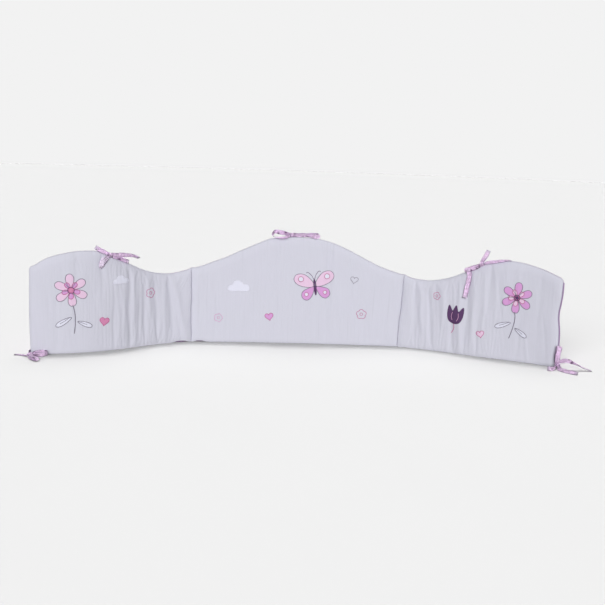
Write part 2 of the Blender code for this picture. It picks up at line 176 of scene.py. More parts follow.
disc = bmesh.new()
bmesh.ops.create_circle(disc, cap_ends=True, segments=96, radius=SURROUND_RADIUS)
floor = studio_object("studio_floor", disc, floor_board)
floor.visible_diffuse = False  # the room's own light stands in for what the floor would throw up

# The surround only shows behind the floor's far edge: it neither lights the bumper nor shades it
surround_light = blank_material("pale_surround")
glow = add_node(surround_light.node_tree, "Emission", {"Color": linear(SURROUND_HEX), "Strength": 1.0})
add_node(surround_light.node_tree, "OutputMaterial", None, {"Surface": glow.outputs[0]})
ball = bmesh.new()
bmesh.ops.create_uvsphere(ball, u_segments=64, v_segments=32, radius=SURROUND_RADIUS)
surround = studio_object("studio_surround", ball, surround_light)
surround.visible_diffuse = False
surround.visible_glossy = False
surround.visible_transmission = False
surround.visible_shadow = False

unlit_floor = bpy.data.collections.new("all_but_the_floor")
unlit_floor.objects.link(floor)
unlit_floor.collection_objects[0].light_linking.link_state = "EXCLUDE"
add_lamp("front_lamp", **FRONT_LAMP).light_linking.receiver_collection = unlit_floor
add_lamp("back_lamp", **BACK_LAMP).light_linking.receiver_collection = unlit_floor
lit_floor = bpy.data.collections.new("lit_by_the_floor_lamps")
lit_floor.objects.link(floor)
for count, settings in enumerate(FLOOR_LAMPS):
    add_lamp(f"floor_lamp_{count}", **settings).light_linking.receiver_collection = lit_floor

# ----------------------------------------------------------------------------------------------------------
# Front panels
# Three covers of pale lilac cotton over a thin wadding, cut with a scalloped top and sewn to each other at
# two upright fold seams. The padding is drawn in at every seam, and the wings, which bend inward, are
# creased upright.
# ----------------------------------------------------------------------------------------------------------
FOLD = 0.300
END = 0.760
GAP = 0.0003  # between pieces that touch
PAD_HALF = 0.009
SEAM_HALF = 0.0022
TOP_RIM = 0.0005
FOOT_SHARE = 0.74  # how full the padding still is at the foot seam
SIDE_REACH = 0.022
TOP_REACH = 0.026
FOOT_REACH = 0.010
CORNER_RADIUS = {-1: 0.005, 1: 0.010}
FOLD_LEAN, FOLD_LEAN_REACH = 0.060, 0.130
SEAM_TIP, SEAM_TIP_REACH = 0.0022, 0.0060
SEAM_WANDER, SEAM_WANDER_REACH = 0.0007, 0.018
SEAM_WAVES = [(1.0, 52, 1, 1), (0.6, 117, 0, 4)]  # share, turns by height, start, turns by place along
# Where an end's upright edge bows inward, or below zero outward: which end, how far, height, reach
END_BOWS = [(1, 0.0063, 0.143, 0.036), (-1, -0.0024, 0.105, 0.080)]
END_BOW_REACH = 0.045
FLOOR_STEP = 0.001
RUN_OUT = 0.150

# Height of the top edge, by distance from the middle
OUTLINE = [
    (0.000, 0.310), (0.075, 0.303), (0.150, 0.275), (0.225, 0.240), (0.300, 0.215), (0.366, 0.201),
    (0.431, 0.210), (0.497, 0.238), (0.563, 0.269), (0.629, 0.276), (0.694, 0.265), (0.760, 0.243),
]
# How far the sewn edge stands off that line, by place along: the cutting and the filling aren't quite even
UNEVEN_EDGE = [
    (-0.760, -0.0110), (-0.744, -0.0090), (-0.729, -0.0050), (-0.711, -0.0019), (-0.640, -0.0012),
    (-0.580, 0.0), (-0.400, 0.0), (-0.350, -0.0020), (-0.268, -0.0030), (-0.229, -0.0020), (-0.190, -0.0040),
    (-0.112, -0.0028), (-0.075, 0.0), (0.080, 0.0), (0.130, 0.0018), (0.205, -0.0014), (0.240, -0.0050),
    (0.325, -0.0050), (0.362, -0.0010), (0.500, 0.0), (0.610, 0.0), (0.660, -0.0012), (0.760, -0.0020),
]
# Degrees that the floor line has turned towards the front, by distance along it
FLOOR_LINE = [
    (-END, -5.9), (-0.668, -15.4), (-0.576, -28.4), (-0.484, -39.7), (-0.392, -33.5), (-0.310, -16.5),
    (-0.290, -4.6), (0.290, 4.6), (0.310, 17.5), (0.392, 25.8), (0.484, 29.8), (0.576, 25.8),
    (0.668, 27.9), (END, 37.4),
]
# Upright creases: along, depth (a ridge is below zero), width, lean, and the two ends as shares of the height
CREASES = [
    (-0.690, 0.0005, 0.012, 0.00, -0.10, 0.70), (-0.640, 0.0006, 0.014, 0.03, 0.30, 1.10),
    (-0.573, 0.0010, 0.009, 0.00, 0.55, 1.10), (-0.540, 0.0006, 0.006, 0.02, -0.10, 0.75),
    (-0.527, -0.0008, 0.006, 0.00, 0.00, 0.60), (-0.512, -0.0013, 0.008, 0.02, 0.10, 0.80),
    (-0.494, 0.0019, 0.008, 0.00, -0.10, 1.00), (-0.481, -0.0018, 0.005, 0.01, 0.30, 1.10),
    (-0.478, -0.0013, 0.005, -0.02, -0.10, 0.26), (-0.464, 0.0008, 0.006, 0.02, 0.05, 0.70),
    (-0.447, 0.0022, 0.008, -0.03, 0.05, 0.85), (-0.431, -0.0018, 0.006, -0.06, 0.35, 1.10),
    (-0.420, -0.0011, 0.005, -0.10, -0.10, 0.45), (-0.410, 0.0021, 0.008, -0.05, -0.10, 0.95),
    (-0.397, -0.0010, 0.005, 0.05, 0.00, 0.40), (-0.383, -0.0020, 0.008, 0.00, -0.10, 1.10),
    (-0.362, 0.0026, 0.009, -0.12, 0.10, 1.10), (-0.345, 0.0009, 0.005, -0.16, -0.10, 0.55),
    (-0.337, -0.0028, 0.009, -0.22, -0.10, 1.10),
    (-0.232, 0.0005, 0.009, 0.00, -0.10, 0.40), (-0.160, 0.0007, 0.012, 0.00, 0.20, 0.90),
    (-0.050, 0.0005, 0.010, 0.00, 0.70, 1.10), (0.045, 0.0005, 0.009, 0.04, -0.10, 0.40),
    (0.092, 0.0014, 0.010, 0.03, -0.10, 1.10), (0.108, -0.0010, 0.010, 0.03, 0.10, 1.00),
    (0.150, 0.0006, 0.008, 0.06, 0.50, 1.10), (0.205, 0.0008, 0.012, 0.00, 0.00, 0.90),
    (0.272, -0.0008, 0.008, 0.05, 0.00, 0.50),
    (0.345, 0.0020, 0.009, -0.06, 0.10, 1.00), (0.366, -0.0022, 0.008, -0.14, 0.20, 1.10),
    (0.381, -0.0009, 0.005, -0.10, -0.10, 0.60), (0.392, 0.0020, 0.008, -0.12, 0.00, 0.90),
    (0.412, 0.0009, 0.006, -0.08, 0.35, 1.10), (0.434, -0.0020, 0.008, -0.04, 0.30, 1.10),
    (0.456, 0.0018, 0.008, -0.10, -0.10, 0.70), (0.468, -0.0008, 0.005, -0.06, 0.30, 0.90),
    (0.481, -0.0019, 0.007, -0.05, -0.10, 0.90), (0.503, 0.0021, 0.009, 0.03, 0.10, 1.00),
    (0.521, -0.0017, 0.007, 0.02, 0.05, 0.85), (0.536, 0.0008, 0.006, 0.02, -0.10, 0.60),
    (0.549, -0.0011, 0.006, 0.00, 0.20, 0.90), (0.562, 0.0014, 0.009, 0.00, 0.45, 1.10),
    (0.582, -0.0008, 0.007, 0.00, 0.30, 1.10), (0.605, -0.0012, 0.010, 0.00, 0.50, 1.10),
    (0.652, 0.0006, 0.011, 0.02, -0.10, 0.60), (0.703, 0.0005, 0.012, 0.00, 0.20, 1.10),
]
CREASE_GAIN = (1.60, 1.45)  # they are deeper on the left
CREASE_WANDER, CREASE_FADE, CREASE_SHARPNESS = 0.0016, 0.2, 1.35
# Small sharp creases that stay pressed into the cotton, most of them leaning to the left as they rise
SMALL_CREASES = {"left": 34, "centre": 12, "right": 42}
# Least and most of their depth, width, lean, middle and half length, the last two as shares of the height
SMALL_LOW = (0.00022, 0.0028, -0.24, 0.0, 0.10)
SMALL_HIGH = (0.00062, 0.0052, 0.06, 1.0, 0.38)
BACK_CREASES = {"count": 34, "size": 2.4, "signs": (1, 0.7)}
# Gathers at an edge: least and most of their depth, width, reach and lean, and of the space to the next
EDGE_GATHERS = ((0.0002, 0.0022, 0.010, -0.35), (0.0008, 0.0050, 0.030, 0.35), (0.006, 0.021))
SIDE_GATHERS = ((0.0002, 0.003, 0.008, -0.5), (0.0007, 0.006, 0.022, 0.5), (0.010, 0.030))
FIRST_GATHER, LAST_GATHER, FIRST_SIDE_GATHER = 0.006, 0.004, 0.012
FOOT_GATHER_SHARE, BACK_GATHER = 0.55, 1.4
FRONT_LUMPS, BACK_LUMPS = 0.0014, 0.0012
# Where the lower edge is drawn up beside the left-hand fold: along, height, reach
FOOT_LIFTS = [(-0.331, 0.0040, 0.021), (-0.275, 0.0035, 0.015)]

PANELS = {
    "left": (-END, -FOLD - GAP / 2),
    "centre": (-FOLD + GAP / 2, FOLD - GAP / 2),
    "right": (FOLD + GAP / 2, END),
}
COLUMN_STEP = 0.0023
NEAR_SEAM = np.array([0.0, 0.0006, 0.0016])
NEAR_EDGE = np.array([0.0, 0.0006, 0.0018, 0.0038, 0.0068, 0.0102, 0.014])
NEAR_TOP = np.array([0.0, 0.0006, 0.0018, 0.0038, 0.0068, 0.0108, 0.0156, 0.0208, 0.026])
ROWS_BETWEEN = 54
# Spare cloth that the seams hold back: place, reach, share of its length
SPARE_CLOTH = [(-0.425, 0.125, 0.026), (0.440, 0.135, 0.021), (0.120, 0.080, 0.003)]
EVEN_SPARE = 0.0015
WADDING_HOLD, WADDING_FILL = 0.19, 0.35
SETTLE_FRAMES, SEWING_FRAMES, SETTLE_CAP = 24, 8, 0.0045
CLOTH_SETTINGS = {
    "quality": 5, "mass": 0.05, "tension_stiffness": 60, "compression_stiffness": 60, "shear_stiffness": 5,
    "bending_stiffness": 1.6, "tension_damping": 1, "compression_damping": 1, "shear_damping": 1,
    "pin_stiffness": 1,
}
COTTON_HEX, COTTON_BLOTCH_HEX = "#CECED9", "#CFCEDB"
BLOTCH_SCALE = 14.0
SLUB_WIDTH, SLUB_LENGTH = 0.0032, 0.120  # thicker places in the upright yarn
FINE_DARK, FINE_LIGHT, SLUB_DARK, WEAVE_SHADE, WEAVE_RELIEF = 0.020, 0.014, 0.045, 0.012, 0.3
THREAD_PITCH = 0.0011  # real threads lie 0.4 mm apart; drawn coarser so that the weave shows
# On the back cloth's map, below this height its very foot takes painted shadow
SHADOWED_FOOT_HEIGHT = 0.0012


def smooth_value(rows, at):
    """Values on the smooth curve through the rows, which hold a place and a value each."""
    places, values = np.array(rows, float).T
    last = len(places) - 1
    before, after = np.maximum(np.arange(last + 1) - 1, 0), np.minimum(np.arange(last + 1) + 1, last)
    slopes = (values[after] - values[before]) / (places[after] - places[before])
    at = np.clip(at, places[0], places[-1])
    k = np.clip(np.searchsorted(places, at) - 1, 0, last - 1)
    span = places[k + 1] - places[k]
    t = (at - places[k]) / span
    return (
        (2 * t**3 - 3 * t**2 + 1) * values[k]
        + (t**3 - 2 * t**2 + t) * span * slopes[k]
        + (3 * t**2 - 2 * t**3) * values[k + 1]
        + (t**3 - t**2) * span * slopes[k + 1]
    )


def heading_at(along):
    """How far the floor line has turned towards the front, in radians."""
    places, turns = np.array(FLOOR_LINE).T
    return np.radians(np.interp(along, places, turns))


def walked_floor_line():
    """Where the floor line is at every step along it, from past one end to past the other."""
    count = round((END + RUN_OUT) / FLOOR_STEP)
    middles = (np.arange(-count, count) + 0.5) * FLOOR_STEP
    steps = np.stack([np.cos(heading_at(middles)), -np.sin(heading_at(middles))]) * FLOOR_STEP
    points = np.concatenate([np.zeros((2, 1)), np.cumsum(steps, axis=1)], axis=1)
    return np.arange(-count, count + 1) * FLOOR_STEP, points - points[:, count : count + 1]


FLOOR_ALONG, FLOOR_POINTS = walked_floor_line()


def front_way(along):
    """The level direction that the front faces, for each place along."""
    heading = heading_at(along)
    return np.stack([-np.sin(heading), -np.cos(heading), np.zeros_like(heading)], axis=-1)


def along_way(along):
    """The level direction in which the distance along grows, for each place along."""
    front = front_way(along)
    return np.stack([-front[..., 1], front[..., 0], front[..., 2]], axis=-1)


def spot(along, out, up):
    """Points at these places on, before or behind the bumper."""
    along, out, up = np.broadcast_arrays(*(np.asarray(x, float) for x in (along, out, up)))
    base = np.stack([np.interp(along, FLOOR_ALONG, FLOOR_POINTS[i]) for i in (0, 1)] + [up], axis=-1)
    lean = FOLD_LEAN * np.maximum(0, 1 - ((along - FOLD) / FOLD_LEAN_REACH) ** 2) ** 2 * up
    near_fold = np.exp(-(((np.abs(along) - FOLD) / SEAM_WANDER_REACH) ** 2))
    waves = sum(share * np.sin(rise * up + start + run * along) for share, rise, start, run in SEAM_WAVES)
    wander = SEAM_WANDER * waves * near_fold
    bow = np.zeros_like(up)
    for side, depth, height, reach in END_BOWS:
        near_end = np.exp(-((np.maximum(END - side * along, 0) / END_BOW_REACH) ** 2))
        bow -= side * depth * near_end * np.exp(-(((up - height) / reach) ** 2))
    shift = along_way(np.float64(FOLD)) * (lean + wander)[..., None] + along_way(along) * bow[..., None]
    return base + front_way(along) * out[..., None] + shift


def top_edge(along):
    """Height of the top edge: each end's corner is rounded off, and each fold seam's end stands up a bit."""
    along = np.asarray(along, float)
    radius = np.where(along < 0, CORNER_RADIUS[-1], CORNER_RADIUS[1])
    inset = np.clip(END - np.abs(along), 0, radius)
    seam_tip = SEAM_TIP * np.exp(-(((np.abs(along) - FOLD) / SEAM_TIP_REACH) ** 2))
    line = smooth_value(OUTLINE, np.abs(along)) + smooth_value(UNEVEN_EDGE, along)
    return line + seam_tip - (radius - np.sqrt(radius**2 - (radius - inset) ** 2))


def foot_edge(along):
    """Height of the lower edge, which is drawn up at two places."""
    return sum(height * np.exp(-(((along - place) / reach) ** 4)) for place, height, reach in FOOT_LIFTS)


def filled(distance, reach):
    """How full the padding is at this distance from a seam, as a quarter of an ellipse."""
    return np.sqrt(1 - (1 - np.clip(distance / reach, 0, 1)) ** 2)


def fullness(along, up, height):
    """How full the padding is, from 0 at the seams to 1 in the middle."""
    from_side = np.minimum(np.abs(np.abs(along) - FOLD) - GAP / 2, END - np.abs(along))
    foot = FOOT_SHARE + (1 - FOOT_SHARE) * filled(up - foot_edge(along), FOOT_REACH)
    return filled(from_side, SIDE_REACH) * foot * filled(height - up, TOP_REACH)


def crease_depth(along, up, height):
    """How far the front cloth is drawn in by its upright creases, which wander a little as they rise."""
    depth = np.zeros_like(along)
    for k, (place, deep, width, lean, low, high) in enumerate(CREASES):
        deep *= CREASE_GAIN[0] if place < -FOLD else CREASE_GAIN[1]
        wander = CREASE_WANDER * np.sin(up * (38 + 7 * (k % 5)) + 2.1 * k)
        off = (along - place - wander - lean * (up - height / 2)) / width
        share = up / height
        fade = np.clip((share - low) / CREASE_FADE, 0, 1) * np.clip((high - share) / CREASE_FADE, 0, 1)
        depth += deep * fade / np.cosh(CREASE_SHARPNESS * off) ** 2
    return depth


def small_crease_depth(along, up, height, seed, count, size=1.0, signs=(1, -1)):
    """Small sharp creases at random places; size widens and deepens them, signs are valleys and ridges."""
    draws = np.random.RandomState(seed + 70)
    depth = np.zeros_like(along)
    for k in range(count):
        place = draws.uniform(along.min() + 0.01, along.max() - 0.01)
        deep, width, lean, share, reach = draws.uniform(SMALL_LOW, SMALL_HIGH)
        off = (along - place - lean * (up - height * share)) / (width * size)
        fade = np.exp(-(((up / height - share) / reach) ** 4))
        depth += signs[k % 2] * deep * size * np.exp(-(off**2)) * fade
    return depth


def add_gather(depth, draws, sizes, place, run, edges):
    """Adds a gather's depth: it starts at a place along an edge, and leans as it runs in from it."""
    deep, width, reach, lean = draws.uniform(sizes[0], sizes[1])
    for edge, share in edges:
        off = (run - place - lean * edge) / width
        depth += share * deep * np.exp(-(off**2)) * np.exp(-((edge / reach) ** 2))


def pucker_depth(along, up, height, seed):
    """Short gathers that run in from a seam, where the thread has drawn the cloth up."""
    draws = np.random.RandomState(seed)
    depth = np.zeros_like(along)
    place = along.min() + FIRST_GATHER
    while place < along.max() - LAST_GATHER:
        add_gather(depth, draws, EDGE_GATHERS, place, along, ((height - up, 1.0), (up, FOOT_GATHER_SHARE)))
        place += draws.uniform(*EDGE_GATHERS[2])
    for side in (along.min(), along.max()):
        rise = FIRST_SIDE_GATHER
        while rise < height.max():
            add_gather(depth, draws, SIDE_GATHERS, rise, up, ((np.abs(along - side), 1.0),))
            rise += draws.uniform(*SIDE_GATHERS[2])
    return depth


def soft_lumps(along, up, seed, waves=14):
    """The wadding's slow unevenness, from -1 to 1."""
    draws = np.random.RandomState(seed)
    lumps = np.zeros_like(along)
    for _ in range(waves):
        across = draws.uniform(20, 75) * draws.choice((-1, 1))
        rise, start = draws.uniform(10, 55), draws.uniform(0, 2 * pi)
        lumps += np.sin(across * along + rise * up + start)
    return lumps / waves


def add_map(mesh, name, values):
    """A map on the mesh, with a pair of values for each of its points."""
    layer = mesh.uv_layers.new(name=name)
    corners = np.empty(len(mesh.loops), int)
    mesh.loops.foreach_get("vertex_index", corners)
    layer.data.foreach_set("uv", np.asarray(values, float)[corners].ravel())


def cloth_object(name, points, faces, places, material, sharp=60):
    """A smooth-shaded object from points and faces, with a map of each point's place on the flat cloth."""
    mesh = bpy.data.meshes.new(name)
    mesh.from_pydata([tuple(p) for p in points], [], faces)
    shape = bmesh.new()
    shape.from_mesh(mesh)
    bmesh.ops.recalc_face_normals(shape, faces=shape.faces)
    shape.to_mesh(mesh)
    shape.free()
    add_map(mesh, "cloth", places)
    mesh.materials.append(material)
    mesh.shade_smooth()
    mesh.set_sharp_from_angle(angle=radians(sharp))
    thing = bpy.data.objects.new(name, mesh)
    bpy.context.collection.objects.link(thing)
    return thing


def closed_cloth(name, front, back, places, material, rim=TOP_RIM):
    """A closed piece from a front and a back grid of points, with a rounded rim along its top.

    Its cloth map holds each point's places along and up in metres.
    """
    n, m = front.shape[:2]
    top_rim = (front[:, -1] + back[:, -1]) / 2 + (0, 0, rim)
    foot_rim = (front[:, 0] + back[:, 0]) / 2
    ring = np.concatenate([front, top_rim[:, None], back[:, ::-1], foot_rim[:, None]], axis=1)
    ring_places = np.concatenate([places, places[:, -1:], places[:, ::-1], places[:, :1]], axis=1)
    r = ring.shape[1]
    index = np.arange(n * r).reshape(n, r)
    a, b = index[:-1], index[1:]
    faces = np.stack([a, np.roll(a, -1, 1), np.roll(b, -1, 1), b], axis=-1).reshape(-1, 4).tolist()
    for column, turned in ((index[0], False), (index[-1], True)):
        caps = [[column[j], column[2 * m - j], column[2 * m - j - 1], column[j + 1]] for j in range(m - 1)]
        caps += [[column[m - 1], column[m + 1], column[m]], [column[0], column[2 * m + 1], column[2 * m]]]
        faces += [[int(i) for i in (reversed(cap) if turned else cap)] for cap in caps]
    return cloth_object(name, ring.reshape(-1, 3), faces, ring_places.reshape(-1, 2), material)


def cotton(name, hex_colour, blotch_hex, streak=1.0, painted_shade_hexes=()):
    """Plain-woven slub cotton: matt, streaked upright where the yarn is thick or thin, and slightly fuzzy.

    It reads the cloth map, so its threads run along and up the cloth on every bend. It can have a painted
    shade past the right-hand end of the map, where it is rolled tight round the seam, and a painted shadow at
    its very foot.
    """
    material = blank_material(name)
    tree = material.node_tree
    cloth = add_node(tree, "UVMap", {"uv_map": "cloth"})
    streaks = []
    for width, length, rough in ((SLUB_WIDTH, SLUB_LENGTH, 0.7), (SLUB_WIDTH * 2.6, SLUB_LENGTH * 1.7, 0.5)):
        scale = {"Scale": (1 / width, 1 / length, 1)}
        place = add_node(tree, "Mapping", scale, {"Vector": cloth.outputs["UV"]})
        noise = {"Scale": 1.0, "Detail": 3.0, "Roughness": rough}
        streaks.append(add_node(tree, "TexNoise", noise, {"Vector": place.outputs[0]}))
    blotches = {"Scale": BLOTCH_SCALE, "Detail": 2.0}
    blotch = add_node(tree, "TexNoise", blotches, {"Vector": cloth.outputs["UV"]})
    parts = add_node(tree, "SeparateXYZ", None, {0: cloth.outputs["UV"]})
    waves = []
    for part in ("X", "Y"):
        turns = {"operation": "MULTIPLY", 1: 2 * pi / THREAD_PITCH}
        turn = add_node(tree, "Math", turns, {0: parts.outputs[part]})
        waves.append(add_node(tree, "Math", {"operation": "SINE"}, {0: turn.outputs[0]}))
    weave = add_node(
        tree, "Math", {"operation": "MULTIPLY"}, {0: waves[0].outputs[0], 1: waves[1].outputs[0]}
    )
    darkest, lightest = 1 - FINE_DARK * streak, 1 + FINE_LIGHT * streak
    fine = add_node(
        tree,
        "MapRange",
        {"From Min": 0.3, "From Max": 0.7, "To Min": darkest, "To Max": lightest},
        {"Value": streaks[0].outputs["Fac"]},
    )
    thick = add_node(
        tree,
        "MapRange",
        {"From Min": 0.60, "From Max": 0.72, "To Min": 1.0, "To Max": 1 - SLUB_DARK * streak},
        {"Value": streaks[1].outputs["Fac"]},
    )
    tone = add_node(tree, "Math", {"operation": "MULTIPLY"}, {0: fine.outputs[0], 1: thick.outputs[0]})
    shade = add_node(
        tree,
        "MapRange",
        {"From Min": -1.0, "From Max": 1.0, "To Min": 1 - WEAVE_SHADE, "To Max": 1 + WEAVE_SHADE},
        {"Value": weave.outputs[0]},
    )
    both = add_node(tree, "Math", {"operation": "MULTIPLY"}, {0: tone.outputs[0], 1: shade.outputs[0]})
    colour = add_node(
        tree, "MixRGB", {1: linear(hex_colour), 2: linear(blotch_hex)}, {"Fac": blotch.outputs["Fac"]}
    )
    # Where the painted shade goes: on the roll past the right-hand end, and painted shadow along the very
    # foot
    edges = (("GREATER_THAN", END + GAP, "X"), ("LESS_THAN", SHADOWED_FOOT_HEIGHT, "Y"))
    for edge_hex, (side_of, place, part) in zip(painted_shade_hexes, edges):
        there = add_node(tree, "Math", {"operation": side_of, 1: place}, {0: parts.outputs[part]})
        colour = add_node(
            tree, "MixRGB", {2: linear(edge_hex)}, {"Fac": there.outputs[0], 1: colour.outputs[0]}
        )
    shaded = add_node(
        tree, "VectorMath", {"operation": "SCALE"}, {0: colour.outputs[0], "Scale": both.outputs[0]}
    )
    relief = add_node(
        tree,
        "Math",
        {"operation": "MULTIPLY_ADD", 1: WEAVE_RELIEF},
        {0: weave.outputs[0], 2: streaks[0].outputs["Fac"]},
    )
    bump = add_node(tree, "Bump", {"Strength": 0.35, "Distance": 0.0004}, {"Height": relief.outputs[0]})
    shader = add_node(
        tree,
        "BsdfPrincipled",
        {
            "Roughness": 0.88, "IOR": 1.5, "Specular IOR Level": 0.25, "Sheen Weight": 0.12,
            "Sheen Roughness": 0.45,
        },
        {"Base Color": shaded.outputs[0], "Normal": bump.outputs[0]},
    )
    add_node(tree, "OutputMaterial", None, {"Surface": shader.outputs[0]})
    return material


lilac_cotton = cotton("lilac_slub_cotton", COTTON_HEX, COTTON_BLOTCH_HEX)


def grid_of(start, stop, between=ROWS_BETWEEN, step=COLUMN_STEP):
    """Along, up and height at each point of a panel's grid, with more columns and rows close to its seams."""
    inner = np.linspace(start + NEAR_SEAM[-1], stop - NEAR_SEAM[-1], round((stop - start) / step))
    along = np.concatenate([start + NEAR_SEAM[:-1], inner, stop - NEAR_SEAM[-2::-1]])
    height, foot = top_edge(along), foot_edge(along)
    low, high = foot + NEAR_EDGE[-1], height - NEAR_TOP[-1]
    middle = low[:, None] + (high - low)[:, None] * np.arange(1, between + 1) / (between + 1)
    up = np.concatenate([foot[:, None] + NEAR_EDGE, middle, height[:, None] - NEAR_TOP[::-1]], axis=1)
    return along[:, None] + np.zeros_like(up), up, height[:, None] + np.zeros_like(up)


def pad_front(along, up, height, seed):
    """How far out the front cover stands before it settles."""
    full = fullness(along, up, height)
    drawn = crease_depth(along, up, height) + pucker_depth(along, up, height, seed)
    lumps = FRONT_LUMPS * soft_lumps(along, up, seed)
    return SEAM_HALF + (PAD_HALF - SEAM_HALF) * full + (lumps - drawn) * full


def pad_back(along, up, height, seed):
    """How far out the back of the padding stands, which is below zero."""
    full = fullness(along, up, height)
    drawn = BACK_GATHER * pucker_depth(along, up, height, seed + 50)
    drawn += small_crease_depth(along, up, height, seed + 20, **BACK_CREASES)
    lumps = BACK_LUMPS * soft_lumps(along, up, seed + 50)
    return -SEAM_HALF - (PAD_HALF - SEAM_HALF) * full + (lumps + drawn) * full


def spare_cloth(along):
    """How much longer the cloth is than the place it is sewn into: most on the inside of the wings' bends."""
    bends = (share * np.exp(-(((along - place) / reach) ** 4)) for place, reach, share in SPARE_CLOTH)
    return EVEN_SPARE + sum(bends)


def settled(placed, loose, hold):
    """Where a grid of cloth comes to rest once its edge has been moved from its loose place to its sewn one.

    hold says how firmly each point is kept to its own place: 1 is sewn, less is the wadding's pull behind it.
    """
    n, m = placed.shape[:2]
    index = np.arange(n * m).reshape(n, m)
    faces = np.stack([index[:-1, :-1], index[1:, :-1], index[1:, 1:], index[:-1, 1:]], axis=-1).reshape(-1, 4)
    mesh = bpy.data.meshes.new("settling_cloth")
    mesh.from_pydata([tuple(p) for p in loose.reshape(-1, 3)], [], faces.tolist())
    thing = bpy.data.objects.new("settling_cloth", mesh)
    bpy.context.collection.objects.link(thing)
    thing.shape_key_add(name="loose")
    key = thing.shape_key_add(name="sewn")
    key.data.foreach_set("co", placed.reshape(-1))
    for value, frame_number in ((0.0, 1), (1.0, 1 + SEWING_FRAMES)):
        key.value = value
        key.keyframe_insert("value", frame=frame_number)
    group = thing.vertex_groups.new(name="hold")
    for value in np.unique(hold):
        group.add([int(i) for i in np.nonzero(hold.reshape(-1) == value)[0]], float(value), "REPLACE")
    cloth = thing.modifiers.new("cloth", "CLOTH")
    for name, value in CLOTH_SETTINGS.items():
        setattr(cloth.settings, name, value)
    cloth.settings.vertex_group_mass = "hold"
    cloth.settings.effector_weights.gravity = 0
    cloth.collision_settings.use_collision = False
    cloth.point_cache.frame_start, cloth.point_cache.frame_end = 1, SETTLE_FRAMES
    for frame_number in range(1, SETTLE_FRAMES + 1):
        bpy.context.scene.frame_set(frame_number)
    rested = np.empty(3 * n * m)
    evaluated = thing.evaluated_get(bpy.context.evaluated_depsgraph_get())
    evaluated.data.vertices.foreach_get("co", rested)
    keyed = mesh.shape_keys.animation_data.action
    bpy.data.objects.remove(thing)
    bpy.data.meshes.remove(mesh)
    bpy.data.actions.remove(keyed)
    bpy.context.scene.frame_set(1)
    moved = rested.reshape(n, m, 3) - placed
    size = np.linalg.norm(moved, axis=-1, keepdims=True)
    return placed + moved * np.minimum(1, SETTLE_CAP / np.maximum(size, 1e-9))


def sewn_cloth(along, out, smooth_out, up, pressed):
    """The panel's cloth after settling, from its creased start and its smooth, slightly longer cut."""
    placed = spot(along, out, up)
    small = front_way(along) * pressed[..., None]
    column = along[:, 0]
    middle = (column[1:] + column[:-1]) / 2
    longer = np.concatenate([[0], np.cumsum(np.diff(column) * (1 + spare_cloth(middle)))])
    longer += column.mean() - longer.mean()
    loose = spot(longer[:, None] + 0 * up, smooth_out, up)
    hold = np.full(up.shape, WADDING_HOLD)
    hold[0] = hold[-1] = hold[:, 0] = hold[:, -1] = 1
    return settled(placed, loose, hold) - small


panels = {}
front_trees = {}
for seed, (side, (start, stop)) in enumerate(PANELS.items()):
    along, up, height = grid_of(start, stop)
    full = fullness(along, up, height)
    smooth_out = SEAM_HALF + (PAD_HALF - SEAM_HALF) * full
    pressed = small_crease_depth(along, up, height, seed, SMALL_CREASES[side]) * full
    panel = closed_cloth(
        f"front_panel_{side}",
        sewn_cloth(along, pad_front(along, up, height, seed), smooth_out, up, pressed),
        spot(along, pad_back(along, up, height, seed), up),
        np.stack([along, up], axis=-1),
        lilac_cotton,
    )
    panels[side] = panel
    front_trees[side] = BVHTree.FromPolygons(
        [v.co.copy() for v in panel.data.vertices], [tuple(p.vertices) for p in panel.data.polygons]
    )
    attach(panel, "root")
    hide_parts(f"panel_{side}")


# ----------------------------------------------------------------------------------------------------------
# Appliqué and embroidery
# Cotton shapes sewn flat on the panels, each edged with a close satin stitch, and small outlines in
# embroidery thread. The design is a plain one of flowers, a butterfly, hearts, blossoms, a tulip and clouds.
# ----------------------------------------------------------------------------------------------------------
PATCH_LIFT, PATCH_LAYER, PATCH_STEP = 0.00035, 0.00040, 0.0030
PATCH_DOME, PATCH_UNDER_LIFT = 0.00025, 0.00012
RIM_STEP = 0.6 * PATCH_STEP
SATIN_WIDTH, SATIN_HEIGHT, SATIN_LIFT, SATIN_STEP = 0.0016, 0.0007, 0.00025, 0.0010
# The stitches' section: places across, in widths, and up, in heights
SATIN_SECTION = [
    (-0.5, 0.0), (-0.42, 0.6), (-0.2, 0.95), (0.2, 0.95), (0.42, 0.6), (0.5, 0.0), (0.3, -0.35),
    (-0.3, -0.35),
]
SATIN_UNEVEN, SATIN_BEAT = 0.07, 2.3
SEARCH_FROM = 0.05  # how far in front of the padding the search for its surface starts
# Stitch ridges: their pitch, and the painted shade and highlight in their colour
RIDGE_PITCH, RIDGE_PAINTED_SHADE, RIDGE_PAINTED_HIGHLIGHT = 0.0009, 0.82, 1.08
THREADS = {"grey": "#85808F", "rose": "#C5699B", "plum": "#5B3A66", "white": "#E4E3EF", "pink": "#DDA6CE"}
FABRICS = {
    "orchid": ("#D6A0D4", "#D299D0"),
    "pink": ("#E5C9E0", "#E2C1DC"),
    "white": ("#E0E0ED", "#DCDCEB"),
    "plum": ("#5E4068", "#553A60"),
    "rose": ("#D58DB4", "#D086AE"),
}
PATCH_STREAK = 0.5
fabrics = {name: cotton(f"{name}_cotton_patch", *hexes, PATCH_STREAK) for name, hexes in FABRICS.items()}


